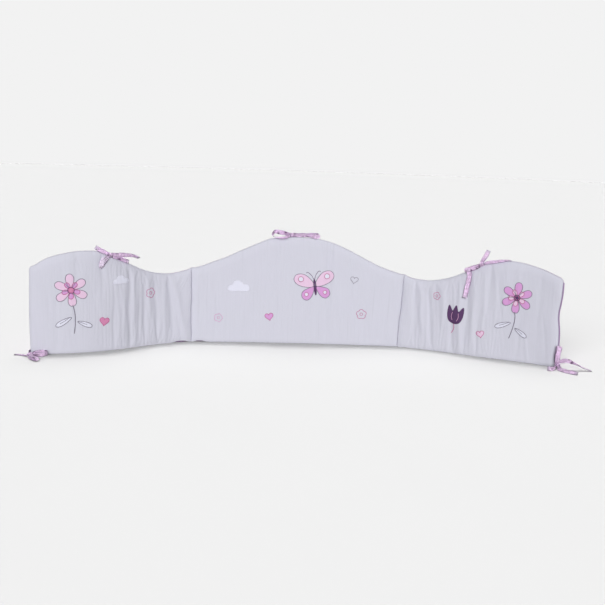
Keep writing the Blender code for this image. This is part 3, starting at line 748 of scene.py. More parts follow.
def thread_material(name, hex_colour):
    """Mercerised embroidery cotton: a low silky gloss, with the stitches as fine ridges across the edge."""
    material = blank_material(name)
    tree = material.node_tree
    place = add_node(tree, "UVMap", {"uv_map": "cloth"})
    parts = add_node(tree, "SeparateXYZ", None, {0: place.outputs["UV"]})
    turns = {"operation": "MULTIPLY", 1: 2 * pi / RIDGE_PITCH}
    turn = add_node(tree, "Math", turns, {0: parts.outputs["Y"]})
    ridge = add_node(tree, "Math", {"operation": "SINE"}, {0: turn.outputs[0]})
    # Painted shade and highlight: each stitch darker in the groove beside it and lighter on its crest, on the
    # bump's ridges
    tone = add_node(
        tree,
        "MapRange",
        {"From Min": -1.0, "From Max": 1.0, "To Min": RIDGE_PAINTED_SHADE, "To Max": RIDGE_PAINTED_HIGHLIGHT},
        {"Value": ridge.outputs[0]},
    )
    colour = add_node(tree, "RGB")
    colour.outputs[0].default_value = linear(hex_colour)
    shaded = add_node(
        tree, "VectorMath", {"operation": "SCALE"}, {0: colour.outputs[0], "Scale": tone.outputs[0]}
    )
    bump = add_node(tree, "Bump", {"Strength": 0.4, "Distance": 0.0003}, {"Height": ridge.outputs[0]})
    shader = add_node(
        tree,
        "BsdfPrincipled",
        {"Roughness": 0.48, "IOR": 1.53, "Specular IOR Level": 0.4, "Sheen Weight": 0.1},
        {"Base Color": shaded.outputs[0], "Normal": bump.outputs[0]},
    )
    add_node(tree, "OutputMaterial", None, {"Surface": shader.outputs[0]})
    return material


threads = {name: thread_material(f"{name}_embroidery_thread", colour) for name, colour in THREADS.items()}


def front_out(side, along, up):
    """How far out the front cloth stands at each place, found on the finished panel."""
    starts, ways = spot(along, SEARCH_FROM, up), -front_way(along)
    found = []
    for start, way in zip(starts, ways):
        hit = front_trees[side].ray_cast(Vector(start), Vector(way))
        found.append(SEARCH_FROM - hit[3] if hit[0] is not None else PAD_HALF)
    return np.array(found)


def smooth_line(points, closed=False, steps=8):
    """A smooth line through these points, with so many steps from each to the next."""
    points = [np.array(p, float) for p in points]
    last = len(points) - 1
    line = []
    for k in range(len(points) if closed else last):
        near = [(k + i) % len(points) if closed else min(max(k + i, 0), last) for i in (-1, 0, 1, 2)]
        a, b, c, d = (points[i] for i in near)
        for t in np.arange(steps) / steps:
            bend, twist = 2 * a - 5 * b + 4 * c - d, 3 * b - a - 3 * c + d
            line.append(0.5 * (2 * b + (c - a) * t + bend * t**2 + twist * t**3))
    return np.array(line if closed else line + [points[-1]])


def full_turn(count):
    """Evenly spaced angles once round."""
    return np.linspace(0, 2 * pi, count, endpoint=False)


def petal(length, width, angle, base=0.0, taper=0.5):
    """A rounded petal or leaf from the middle outward, narrower at its base."""
    turns = full_turn(40)
    out = length * (0.5 - 0.5 * np.cos(turns))
    wide = width / 2 * np.sin(turns) * (taper + (1 - taper) * out / length)
    a = radians(angle)
    return np.stack([(base + out) * cos(a) - wide * sin(a), (base + out) * sin(a) + wide * cos(a)], axis=-1)


def circle(radius, x=0.0, y=0.0):
    """A circle round this place."""
    turns = full_turn(32)
    return np.stack([x + radius * np.cos(turns), y + radius * np.sin(turns)], axis=-1)


def heart(width):
    """A heart, drawn by the usual curve, which is 32 units wide."""
    turns = full_turn(56)
    x = 16 * np.sin(turns) ** 3
    y = 13 * np.cos(turns) - 5 * np.cos(2 * turns) - 2 * np.cos(3 * turns) - np.cos(4 * turns)
    return np.stack([x, y], axis=-1) * width / 32


def cloud(width):
    """A flat-bottomed cloud with five puffs, drawn 60 units wide."""
    bends = [
        (-30, 0), (-27, 10), (-18, 13), (-12, 22), (0, 25), (10, 20), (15, 15), (25, 13), (30, 4), (25, -3),
        (0, -4), (-24, -4),
    ]
    return smooth_line([(x * width / 60, y * width / 60) for x, y in bends], closed=True)


def blossom(radius, lobes=5, depth=0.22):
    """The outline of a round blossom with notched lobes."""
    turns = full_turn(72)
    reach = radius * (1 - depth + depth * np.abs(np.cos(lobes / 2 * turns)) ** 0.8)
    return np.stack([reach * np.cos(turns), reach * np.sin(turns)], axis=-1)


def evenly(line, step, closed=True):
    """The line's points again, a step apart."""
    if closed:
        line = np.concatenate([line, line[:1]])
    run = np.concatenate([[0], np.cumsum(np.linalg.norm(np.diff(line, axis=0), axis=1))])
    count = max(4, round(run[-1] / step))
    at = np.linspace(0, run[-1], count, endpoint=not closed)
    return np.stack([np.interp(at, run, line[:, i]) for i in (0, 1)], axis=-1)


def placed(shape, at, size, turn):
    """A shape in millimetres, turned, sized and set at its place along and up."""
    a = radians(turn)
    spin = np.array([[cos(a), sin(a)], [-sin(a), cos(a)]])
    return np.asarray(shape) @ spin * size / 1000 + np.array(at)


def is_inside(edge, x, y):
    """Whether a place lies inside a closed edge and clear of it.

    From inside, a straight line to the right crosses the edge an odd number of times.
    """
    crossings = 0
    for p, q in zip(edge, np.roll(edge, -1, axis=0)):
        if (p[1] > y) != (q[1] > y) and x < (q[0] - p[0]) * (y - p[1]) / (q[1] - p[1]) + p[0]:
            crossings += 1
    return crossings % 2 == 1 and np.min(np.hypot(edge[:, 0] - x, edge[:, 1] - y)) > RIM_STEP


def patch_parts(side, line, layer):
    """Points, faces and map of one patch: its top, its underside and its turned edge."""
    edge = evenly(line, RIM_STEP)
    count = len(edge)
    ends = zip(edge.min(axis=0), edge.max(axis=0))
    columns, rows = (np.arange(low, high, PATCH_STEP) for low, high in ends)
    flat = [Vector(p) for p in edge]
    flat += [Vector((x, y)) for x in columns for y in rows if is_inside(edge, x, y)]
    made = delaunay_2d_cdt(flat, [(i, (i + 1) % count) for i in range(count)], [], 1, 1e-7)
    flat, triangles = np.array([tuple(v) for v in made[0]]), made[2]
    out = front_out(side, flat[:, 0], flat[:, 1])
    lift = PATCH_LIFT + PATCH_LAYER * layer
    domed = np.where(np.arange(len(flat)) < count, 0.0, PATCH_DOME)
    top = spot(flat[:, 0], out + lift + domed, flat[:, 1])
    under = spot(flat[:, 0], out + PATCH_UNDER_LIFT + PATCH_LAYER * max(layer - 1, 0), flat[:, 1])
    shift = len(flat)
    faces = [tuple(t) for t in triangles] + [tuple(i + shift for i in reversed(t)) for t in triangles]
    faces += [(i, (i + 1) % count, (i + 1) % count + shift, i + shift) for i in range(count)]
    return np.concatenate([top, under]), faces, np.concatenate([flat, flat])


def satin_parts(side, line, layer, width, closed):
    """Points, faces and map of a band of close stitches: a low rounded ridge that follows the cloth."""
    path = evenly(line, SATIN_STEP, closed)
    ways = np.roll(path, -1, axis=0) - np.roll(path, 1, axis=0)
    if not closed:
        ways[0], ways[-1] = path[1] - path[0], path[-1] - path[-2]
    ways /= np.linalg.norm(ways, axis=1)[:, None]
    across = np.stack([-ways[:, 1], ways[:, 0]], axis=-1)
    base = front_out(side, path[:, 0], path[:, 1]) + PATCH_LAYER * layer + SATIN_LIFT
    uneven = 1 + SATIN_UNEVEN * np.sin(np.arange(len(path)) * SATIN_BEAT)
    rows = []
    for wide, high in SATIN_SECTION:
        flat = path + across * (wide * width * uneven)[:, None]
        rows.append(spot(flat[:, 0], base + high * SATIN_HEIGHT * width / SATIN_WIDTH, flat[:, 1]))
    points = np.stack(rows, axis=1)
    n, r = points.shape[:2]
    sideways, run = np.array([wide * width for wide, _ in SATIN_SECTION]), np.arange(n) * SATIN_STEP
    places = np.stack(np.broadcast_arrays(sideways, run[:, None]), axis=-1)
    index = np.arange(n * r).reshape(n, r)
    here, there = index, np.roll(index, -1, axis=0)
    if not closed:
        here, there = here[:-1], there[:-1]
    faces = np.stack([here, np.roll(here, -1, 1), np.roll(there, -1, 1), there], axis=-1)
    faces = faces.reshape(-1, 4).tolist()
    if not closed:
        faces += [index[0][::-1].tolist(), index[-1].tolist()]
    return points.reshape(-1, 3), faces, places.reshape(-1, 2)


def joined(name, parts, material, parent):
    """One object from several closed parts, sewn to its panel."""
    faces, shift = [], 0
    for points, part_faces, _ in parts:
        faces += [tuple(int(i) + shift for i in face) for face in part_faces]
        shift += len(points)
    points, places = (np.concatenate([part[i] for part in parts]) for i in (0, 2))
    thing = cloth_object(name, points, faces, places, material, sharp=80)
    thing.parent = parent
    return thing


def motif(name, side, at, size, turn, patches=(), outlines=()):
    """Sews a motif on a panel, one object for each fabric and each thread.

    A patch is (fabric, thread, layer, shape), an outline (thread, layer, width, shape, closed).
    """
    by_fabric, by_thread = {}, {}
    for fabric, thread, layer, shape in patches:
        line = placed(shape, at, size, turn)
        by_fabric.setdefault(fabric, []).append(patch_parts(side, line, layer))
        by_thread.setdefault(thread, []).append(satin_parts(side, line, layer + 1, SATIN_WIDTH, True))
    for thread, layer, width, shape, closed in outlines:
        line = placed(shape, at, size, turn)
        by_thread.setdefault(thread, []).append(satin_parts(side, line, layer, width, closed))
    for fabric, parts in by_fabric.items():
        joined(f"{name}_patch_{fabric}", parts, fabrics[fabric], panels[side])
    for thread, parts in by_thread.items():
        joined(f"{name}_stitches_{thread}", parts, threads[thread], panels[side])


def flower(name, side, at, size, turn, petals, inner, heart_fabric):
    """A tall flower: two rounds of petals and a disc on a bowed stem with two leaves."""
    patches = [
        ("white", "grey", 0, petal(46, 17, 205, 8) + (0, -70)),
        ("white", "grey", 0, petal(40, 16, -28, 6) + (2, -84)),
    ]
    patches += [(petals, "grey", 0, petal(38, 27, 90 + 60 * k, 6)) for k in range(6)]
    patches += [(inner, "rose", 1, petal(19, 15, 120 + 72 * k, 5)) for k in range(5)]
    patches += [(heart_fabric, "plum", 2, circle(8.5))]
    outlines = [
        ("grey", 0, 0.0024, smooth_line([(0, -40), (3, -62), (1, -88), (-5, -118)]), False),
        ("grey", 1, 0.0013, smooth_line([(-10, -72), (-24, -80), (-38, -87)]), False),
        ("grey", 1, 0.0013, smooth_line([(8, -87), (20, -93), (31, -99)]), False),
    ]
    motif(name, side, at, size, turn, patches, outlines)


UPPER_WING = smooth_line([(2, 2), (9, 20), (28, 38), (50, 39), (58, 24), (46, 8), (20, -1)], closed=True)
LOWER_WING = smooth_line([(3, -3), (20, -4), (38, -13), (40, -29), (27, -38), (12, -28)], closed=True)


def butterfly(name, side, at, size, turn, upper, lower, spots):
    """A butterfly: four wings with a spot on each, a body, and two feelers."""
    patches = []
    for way in ((1, 1), (-1, 1)):
        patches += [(lower, "grey", 0, LOWER_WING * way), (upper, "grey", 0, UPPER_WING * way)]
        patches += [(spots, "rose", 1, circle(7.5, 38, 25) * way)]
        patches += [(spots, "rose", 1, circle(5.5, 27, -21) * way)]
    patches += [("plum", "plum", 1, petal(46, 8, 90, -26, 0.8))]
    outlines = [
        ("plum", 0, 0.0014, smooth_line([(1, 20), (6, 32), (15, 42), (21, 41)]), False),
        ("plum", 0, 0.0014, smooth_line([(-1, 20), (-6, 32), (-15, 42), (-21, 41)]), False),
    ]
    motif(name, side, at, size, turn, patches, outlines)


def small_blossom(name, side, at, turn, thread, radius, eye):
    """A small embroidered blossom with a ring for its eye."""
    outlines = [(thread, 0, 0.0015, blossom(radius), True), (thread, 0, 0.0013, circle(eye), True)]
    motif(name, side, at, 1.0, turn, (), outlines)


flower("flower_left", "left", (-0.655, 0.172), 1.0, 6, "pink", "orchid", "rose")
motif("heart_left", "left", (-0.568, 0.083), 1.0, -10, [("rose", "rose", 0, heart(26))])
small_blossom("blossom_left", "left", (-0.428, 0.150), 0, "rose", 14, 4)
motif("cloud_left", "left", (-0.520, 0.187), 0.9, 0, [("white", "white", 0, cloud(50))])

butterfly("butterfly_centre", "centre", (0.055, 0.170), 1.0, 8, "pink", "orchid", "white")
motif("cloud_centre", "centre", (-0.165, 0.155), 1.0, 0, [("white", "white", 0, cloud(62))])
motif("heart_centre", "centre", (-0.075, 0.078), 1.0, 12, [("orchid", "rose", 0, heart(24))])
small_blossom("blossom_centre_left", "centre", (-0.222, 0.072), 0, "pink", 12, 3.5)
small_blossom("blossom_centre_right", "centre", (0.192, 0.092), 20, "rose", 14, 4)
motif("heart_outline_centre", "centre", (0.168, 0.192), 1.0, -8, (), [("grey", 0, 0.0013, heart(22), True)])

TULIP = smooth_line(
    [(0, -26), (-16, -20), (-23, 0), (-21, 24), (-9, 10), (0, 27), (9, 10), (21, 24), (23, 0), (16, -20)],
    closed=True,
)
TULIP_LINES = [
    ("pink", 1, 0.0014, smooth_line([(-9, 6), (-11, -6), (-7, -17)]), False),
    ("pink", 1, 0.0014, smooth_line([(9, 6), (11, -6), (7, -17)]), False),
    ("rose", 0, 0.0020, smooth_line([(0, -27), (2, -40), (-3, -54)]), False),
]
motif("tulip_right", "right", (0.470, 0.112), 1.0, -6, [("plum", "plum", 0, TULIP)], TULIP_LINES)
motif("heart_right", "right", (0.545, 0.066), 1.0, 14, [("pink", "rose", 0, heart(22))])
small_blossom("blossom_right", "right", (0.412, 0.160), 0, "rose", 11, 3.5)
flower("flower_right", "right", (0.640, 0.178), 0.98, -5, "orchid", "pink", "plum")

# ----------------------------------------------------------------------------------------------------------
# Back cloth
# One length of orchid cotton behind all three panels, sewn in at the edges and the folds, and rolled forward
# round the right-hand end, where it shows as a narrow edge.
# ----------------------------------------------------------------------------------------------------------
COVER_THICKNESS, COVER_RIM = 0.0013, 0.0003
COVER_FOOT = 0.0008
COVER_COLUMN_STEP, COVER_ROWS_BETWEEN = 0.0030, 36
LIP_REACH = 0.0130  # where the lower edge is drawn up, the back cloth shows beneath it
LIFTED, LIP_RISE, LIP_GAP = 0.001, 0.0003, 0.0006
# The roll round the end: how far past it, and the shares of the half thickness in front and behind
ROLL = [(0.0000, 0.8, 1.0), (0.0006, 1.1, 1.08), (0.0012, 1.2, 1.1), (0.0019, 0.85, 0.95), (0.0024, 0.2, 0.6)]
ORCHID_HEX, ORCHID_BLOTCH_HEX = "#BF92C3", "#BA8BBF"
# Painted shade: greyer and darker on the roll round the right-hand end, darker still as shadow on the foot's
# lip
ORCHID_PAINTED_SHADE_HEXES = ("#A88FB2", "#7A5F83")

orchid_cotton = cotton("orchid_slub_cotton", ORCHID_HEX, ORCHID_BLOTCH_HEX, painted_shade_hexes=ORCHID_PAINTED_SHADE_HEXES)

grids = [grid_of(start, stop, COVER_ROWS_BETWEEN, COVER_COLUMN_STEP) for start, stop in PANELS.values()]
inner = np.concatenate([pad_back(*grid, seed) for seed, grid in enumerate(grids)]) - GAP
along, up = (np.concatenate([grid[i] for grid in grids]) for i in (0, 1))
at = np.where(along >= END - 1e-9, along + GAP, along)
up[:, 0] = COVER_FOOT
lift = foot_edge(along[:, 0])
lifted = lift > LIFTED
inner_front, up_front, up_map = inner.copy(), up.copy(), up.copy()
inner_front[:, :2] += (lift / FOOT_LIFTS[0][1])[:, None] * LIP_REACH
up_front[lifted, 1] = np.maximum(COVER_FOOT + LIP_RISE, lift[lifted] - LIP_GAP)
# The lip's map is set to the very foot, so the lip takes the painted shadow there
up_map[lifted, :2] = 0  # the lip takes the tone of the very foot
front_points, back_points = [spot(at, inner_front, up_front)], [spot(at, inner - COVER_THICKNESS, up)]
cover_places = [np.stack([along, up_map], axis=-1)]
for reach, front_share, back_share in ROLL:
    here, rows = END + 2 * GAP + reach, up[-1]
    front_points.append(spot(here, SEAM_HALF * front_share, rows)[None])
    back_points.append(spot(here, -(SEAM_HALF + GAP + COVER_THICKNESS) * back_share, rows)[None])
    cover_places.append(np.stack(np.broadcast_arrays(here, rows), axis=-1)[None])
cover_grids = (np.concatenate(parts) for parts in (front_points, back_points, cover_places))
back_cloth = closed_cloth("back_cloth", *cover_grids, orchid_cotton, COVER_RIM)
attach(back_cloth, "root")
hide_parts("back_cover")

# ----------------------------------------------------------------------------------------------------------
# Ties
# Flat straps of the orchid cotton, folded and sewn along both edges, about 12 mm wide, knotted by hand at
# five places. Each run out of a knot is a strap of its own, and a knot is the strap wrapped round itself.
# ----------------------------------------------------------------------------------------------------------
STRAP_WIDTH, STRAP_THICKNESS = 0.012, 0.0016
STRAP_STEPS = 10  # between two bends
# The strap's section: places across and through it, with a soft rounded fold at each edge
SECTION = [
    (-1.0, 0.0), (-0.97, 0.55), (-0.86, 0.92), (-0.72, 0.80), (-0.4, 0.98), (0.0, 1.0), (0.4, 0.98),
    (0.72, 0.80), (0.86, 0.92), (0.97, 0.55), (1.0, 0.0), (0.97, -0.55), (0.86, -0.92), (0.72, -0.80),
    (0.4, -0.98), (0.0, -1.0), (-0.4, -0.98), (-0.72, -0.80), (-0.86, -0.92), (-0.97, -0.55),
]
INTO_KNOT = 0.0045  # how far a strap's end runs on inside its knot
NECK_WIDTH, NECK_REACH, NECK_SHAPE = 0.62, 0.014, 0.7  # a strap is drawn narrow where it leaves its knot
PLEAT_REACH, PLEAT_DEPTH, PLEAT_TURNS, PLEAT_SHADE = 0.025, 0.00065, 7.5, 0.95  # and gathered in small pleats
# PLEAT_SHADE and FOLD_SHADE are painted shade: the pleats' hollows and the pressed folds darkened in the
# colour
FOLD_DEPTH, FOLD_SHADE, FOLD_EDGE = 0.0008, 0.9, 1.8
TIP_THICKNESS, TIP_REACH = 0.72, 0.0004
# Slow waves along a strap, of its hollow and of its edges: depth and turns for each metre, in radians
HOLLOW_WAVES = [(0.00045, 210), (0.00035, 95)]
HOLLOW_LEVEL = 0.4
EDGE_WAVES = [(0.00020, 700, 3), (0.00040, 240, 2)]
EDGE_FROM = 0.8
ALONG, OUT, UP = Vector((1, 0, 0)), Vector((0, 1, 0)), Vector((0, 0, 1))
TIE_LAMP = {"strength": 0.5, "azimuth": 0, "height": 70, "spread": 30}  # a little light for them from above
TIE_WEAVE_PITCH = 0.0022  # the real check is about half as wide, too fine to show
STITCH_LINE, STITCH_HALF, STITCH_PITCH = 0.0044, 0.00035, 0.0024
STITCH_HEX = "#E3C3E4"
DARK_EDGE_START, DARK_EDGE_FULL, DARK_EDGE_SHARE = 0.0045, 0.0058, 0.85
TIP_GREY_REACH, TIP_GREY_SHARE, TIP_GREY_HEX = 0.011, 0.85, "#A29BAB"
# Painted shade: the deep purple mixed into the straps' folds, pleats and the knots' wraps, where shade falls
FOLD_PAINTED_SHADE_HEX = "#5F3A66"
TONE_SCALE, TONE_DARK, TONE_LIGHT = 150.0, 0.78, 1.15
STRAP_HEXES = ("#CDA9D2", "#ECD4EE", "#9885A4")
# A paler copy of the strap cotton for the loop that hangs in front: the same cloth, painted lighter as light
# falls on it
HIGHLIGHTED_STRAP_HEXES = ("#D9C8E0", "#E6D9EC", "#C3B6CE")


def tie_cotton(name, deep_hex, pale_hex, edge_hex):
    """The orchid cotton cut narrow: a fine check, stitching along each dark folded edge, and greyish tips.

    The cloth map's first axis runs across the strap, its second along it. The tip map holds the distance from
    the free end, and how much painted shade a point takes in the strap's folds, pleats and wraps.
    """
    material = blank_material(name)
    tree = material.node_tree
    cloth = add_node(tree, "UVMap", {"uv_map": "cloth"})
    tip = add_node(tree, "UVMap", {"uv_map": "tip"})
    parts = add_node(tree, "SeparateXYZ", None, {0: cloth.outputs["UV"]})
    ends = add_node(tree, "SeparateXYZ", None, {0: tip.outputs["UV"]})
    waves = []
    for part, pitch in (("X", TIE_WEAVE_PITCH), ("Y", TIE_WEAVE_PITCH), ("Y", STITCH_PITCH)):
        turns = {"operation": "MULTIPLY", 1: 2 * pi / pitch}
        turn = add_node(tree, "Math", turns, {0: parts.outputs[part]})
        waves.append(add_node(tree, "Math", {"operation": "SINE"}, {0: turn.outputs[0]}))
    check = add_node(tree, "Math", {"operation": "ADD"}, {0: waves[0].outputs[0], 1: waves[1].outputs[0]})
    tones = add_node(tree, "TexNoise", {"Scale": TONE_SCALE, "Detail": 3.0}, {"Vector": cloth.outputs["UV"]})
    mixed = add_node(
        tree,
        "MapRange",
        {"From Min": -1.4, "From Max": 1.4, "To Min": 0.0, "To Max": 1.0},
        {"Value": check.outputs[0]},
    )
    colour = add_node(tree, "MixRGB", {1: linear(deep_hex), 2: linear(pale_hex)}, {"Fac": mixed.outputs[0]})
    uneven = add_node(
        tree,
        "MapRange",
        {"From Min": 0.32, "From Max": 0.68, "To Min": TONE_DARK, "To Max": TONE_LIGHT},
        {"Value": tones.outputs["Fac"]},
    )
    shaded = add_node(
        tree, "VectorMath", {"operation": "SCALE"}, {0: colour.outputs[0], "Scale": uneven.outputs[0]}
    )
    from_middle = add_node(tree, "Math", {"operation": "ABSOLUTE"}, {0: parts.outputs["X"]})
    line = {"operation": "COMPARE", 1: STITCH_LINE, 2: STITCH_HALF}
    on_line = add_node(tree, "Math", line, {0: from_middle.outputs[0]})
    on_stitch = add_node(tree, "Math", {"operation": "GREATER_THAN", 1: -0.3}, {0: waves[2].outputs[0]})
    stitch = add_node(
        tree, "Math", {"operation": "MULTIPLY"}, {0: on_line.outputs[0], 1: on_stitch.outputs[0]}
    )
    sewn = add_node(tree, "MixRGB", {2: linear(STITCH_HEX)}, {"Fac": stitch.outputs[0], 1: shaded.outputs[0]})
    edge_share = add_node(
        tree,
        "MapRange",
        {"From Min": DARK_EDGE_START, "From Max": DARK_EDGE_FULL, "To Min": 0.0, "To Max": DARK_EDGE_SHARE},
        {"Value": from_middle.outputs[0]},
    )
    edged = add_node(
        tree, "MixRGB", {2: linear(edge_hex)}, {"Fac": edge_share.outputs[0], 1: sewn.outputs[0]}
    )
    grey_share = add_node(
        tree,
        "MapRange",
        {"From Min": 0.0, "From Max": TIP_GREY_REACH, "To Min": TIP_GREY_SHARE, "To Max": 0.0},
        {"Value": ends.outputs["X"]},
    )
    tipped = add_node(
        tree, "MixRGB", {2: linear(TIP_GREY_HEX)}, {"Fac": grey_share.outputs[0], 1: edged.outputs[0]}
    )
    # Painted shade: folds, pleats and wraps darkened by the tip map's second value
    fold_shaded = add_node(
        tree, "MixRGB", {2: linear(FOLD_PAINTED_SHADE_HEX)}, {"Fac": ends.outputs["Y"], 1: tipped.outputs[0]}
    )
    relief = add_node(
        tree, "Math", {"operation": "MULTIPLY_ADD", 1: 0.4}, {0: check.outputs[0], 2: stitch.outputs[0]}
    )
    bump = add_node(tree, "Bump", {"Strength": 0.45, "Distance": 0.0004}, {"Height": relief.outputs[0]})
    shader = add_node(
        tree,
        "BsdfPrincipled",
        {
            "Roughness": 0.82, "IOR": 1.5, "Specular IOR Level": 0.3, "Sheen Weight": 0.12,
            "Sheen Roughness": 0.4,
        },
        {"Base Color": fold_shaded.outputs[0], "Normal": bump.outputs[0]},
    )
    add_node(tree, "OutputMaterial", None, {"Surface": shader.outputs[0]})
    return material


lit_ties = bpy.data.collections.new("lit_by_the_tie_lamp")
add_lamp("tie_lamp", **TIE_LAMP).light_linking.receiver_collection = lit_ties
strap_cotton = tie_cotton("orchid_cotton_strap", *STRAP_HEXES)
highlighted_strap_cotton = tie_cotton("highlighted_orchid_cotton_strap", *HIGHLIGHTED_STRAP_HEXES)


def add_tie_part(name, node, points, faces, places, tips, material, sharp):
    """A piece of a tie under its lamp, in its CAD node's place, with its cloth map and its tip map."""
    thing = cloth_object(name, points, faces, places, material, sharp)
    add_map(thing.data, "tip", tips)
    lit_ties.objects.link(thing)
    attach(thing, "root")
    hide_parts(node)
    return thing


def strap(
    name, along, up, width_way, bends, knotted=(True, False), seed=0, width=STRAP_WIDTH,
    pale=False, folds=(),
):
    """A flat strap through the bends, which are in millimetres from its place and degrees of twist.

    Its width starts in the direction width_way: along, out to the front and up. A fold is a pressed-in place:
    its distance from the start and its reach in millimetres, and which half it is in.
    """
    run = smooth_line(bends, steps=STRAP_STEPS)
    places = spot(along + run[:, 0] / 1000, run[:, 1] / 1000, up + run[:, 2] / 1000)
    points, twists = [Vector(p) for p in places], list(run[:, 3])
    across = width_way.x * Vector(along_way(np.float64(along)))
    across += width_way.y * Vector(front_way(np.float64(along))) + width_way.z * UP
    if knotted[0]:
        points.insert(0, points[0] - (points[1] - points[0]).normalized() * INTO_KNOT)
        twists.insert(0, twists[0])
    if knotted[1]:
        points.append(points[-1] + (points[-1] - points[-2]).normalized() * INTO_KNOT)
        twists.append(twists[-1])
    lengths = [0.0]
    for p, q in zip(points, points[1:]):
        lengths.append(lengths[-1] + (q - p).length)
    whole = lengths[-1]
    starts = np.random.RandomState(seed + 11).uniform(0, 2 * pi, 5)
    rows, maps, tips = [], [], []
    before = None
    for i, (point, twist, s) in enumerate(zip(points, twists, lengths)):
        way = (points[min(i + 1, len(points) - 1)] - points[max(i - 1, 0)]).normalized()
        if before is not None:
            across = before.rotation_difference(way) @ across
        across = (across - across.dot(way) * way).normalized()
        before = way
        turned = Quaternion(way, radians(twist)) @ across
        face = way.cross(turned)
        near = min([s] * knotted[0] + [whole - s] * knotted[1] + [1.0])
        free = min([s] * (not knotted[0]) + [whole - s] * (not knotted[1]) + [1.0])
        narrow = NECK_WIDTH + (1 - NECK_WIDTH) * min(near / NECK_REACH, 1) ** NECK_SHAPE
        gather = max(0.0, 1 - near / PLEAT_REACH)
        hollow = sum(deep * sin(s * turns + start) for (deep, turns), start in zip(HOLLOW_WAVES, starts))
        for wide, high in SECTION:
            pressed = 0.0
            for place, reach, half in folds:
                in_half = min(1.0, max(0.0, FOLD_EDGE * half * wide + 1 - abs(half)))
                pressed += in_half * np.exp(-(((s - place / 1000) / (reach / 1000)) ** 2))
            pleat = gather * sin(PLEAT_TURNS * wide + starts[2])
            thick = high * STRAP_THICKNESS / 2 * (TIP_THICKNESS if free < TIP_REACH else 1.0)
            bow = hollow * (wide**2 - HOLLOW_LEVEL) + PLEAT_DEPTH * pleat - FOLD_DEPTH * min(pressed, 1.0)
            sideways = wide * width / 2 * narrow
            if abs(wide) > EDGE_FROM:
                for (deep, turns, shift), start in zip(EDGE_WAVES, starts[3:]):
                    sideways += (1 if wide > 0 else -1) * deep * sin(s * turns + start + shift * (wide > 0))
            rows.append(point + turned * sideways + face * (thick + bow))
            maps.append((wide * STRAP_WIDTH / 2, s))
            # The second value is painted shade, in the pleats' hollows and the pressed folds
            tips.append((free, min(0.95, PLEAT_SHADE * max(0.0, -pleat) + FOLD_SHADE * pressed)))
    r = len(SECTION)
    faces = []
    for i in range(0, len(rows) - r, r):
        faces += [(i + k, i + (k + 1) % r, i + r + (k + 1) % r, i + r + k) for k in range(r)]
    faces += [tuple(range(r)), tuple(range(len(rows) - r, len(rows)))]
    # pale takes the paler copy of the strap cotton, which is painted light
    cotton_used = highlighted_strap_cotton if pale else strap_cotton
    node = name.replace("strap_", "tie_")
    thing = add_tie_part(name, node, rows, faces, maps, tips, cotton_used, 55)


# A knot: its size, how full it is, how much slimmer in the middle, and how its wraps slant and start
KNOT_SIZE = (0.0165, 0.0115, 0.0125)
KNOT_ROUND, KNOT_WAIST, WRAP_SLANT, WRAP_START = 0.94, 0.12, 2.2, 0.13
# Each wrap rises to its edge, a narrow fold: rise, depth, place, half width, and half width of its shade
WRAP_RISE, WRAP_FOLD, WRAP_EDGE, WRAP_HALF, WRAP_SHADE_HALF = 0.10, 0.09, 0.05, 0.06, 0.09
# WRAP_SHADE is painted shade: the fold at each wrap's edge darkened in the colour, up to this share
WRAP_SHADE, WRAP_LENGTHENING = 0.75, 0.3
CRUMPLES = [(0.022, 9, 14, 1), (0.016, 5, -21, 0)]  # depth, turns round and along, share of the seed
POLE_REACH = 0.2  # the waist leaves the knot's two ends alone


def knot(name, along, out, up, turn=0.0, seed=0):
    """A hand-tied knot: the strap wrapped twice round itself, with the wraps' edges as slanting folds."""
    shape = bmesh.new()
    bmesh.ops.create_uvsphere(shape, u_segments=56, v_segments=36, radius=0.5)
    centre = Vector(spot(along, out, up))
    along_dir, front_dir = Vector(along_way(np.float64(along))), Vector(front_way(np.float64(along)))
    spin = Quaternion(front_dir, radians(turn))
    points, maps, tips = [], [], []
    for vert in shape.verts:
        x, y, z = vert.co
        around = np.arctan2(z, y)
        waist = 1 - KNOT_WAIST * cos(2 * pi * x) * ((y * y + z * z) ** 0.5 > POLE_REACH)
        wraps = (WRAP_SLANT * x + around / (2 * pi) + WRAP_START * seed) % 1.0
        step = WRAP_RISE * (1 - wraps) - WRAP_FOLD * np.exp(-(((wraps - WRAP_EDGE) / WRAP_HALF) ** 2))
        crumple = sum(deep * sin(a * around + b * x + c * seed) for deep, a, b, c in CRUMPLES)
        size = waist * (KNOT_ROUND + step + crumple)
        offset = along_dir * x * KNOT_SIZE[0] * (1 + WRAP_LENGTHENING * step)
        offset += UP * z * KNOT_SIZE[2] * size - front_dir * y * KNOT_SIZE[1] * size
        points.append(centre + spin @ offset)
        maps.append((x * KNOT_SIZE[0], np.abs(around) * KNOT_SIZE[1] / 2))
        # The tip map's second value is painted shade, in the fold at each wrap's edge
        tips.append((1.0, WRAP_SHADE * np.exp(-(((wraps - WRAP_EDGE) / WRAP_SHADE_HALF) ** 2))))
    shape.verts.index_update()
    faces = [tuple(v.index for v in f.verts) for f in shape.faces]
    shape.free()
    add_tie_part(name, name.replace("wrapped_", "tie_"), points, faces, maps, tips, strap_cotton, 70)


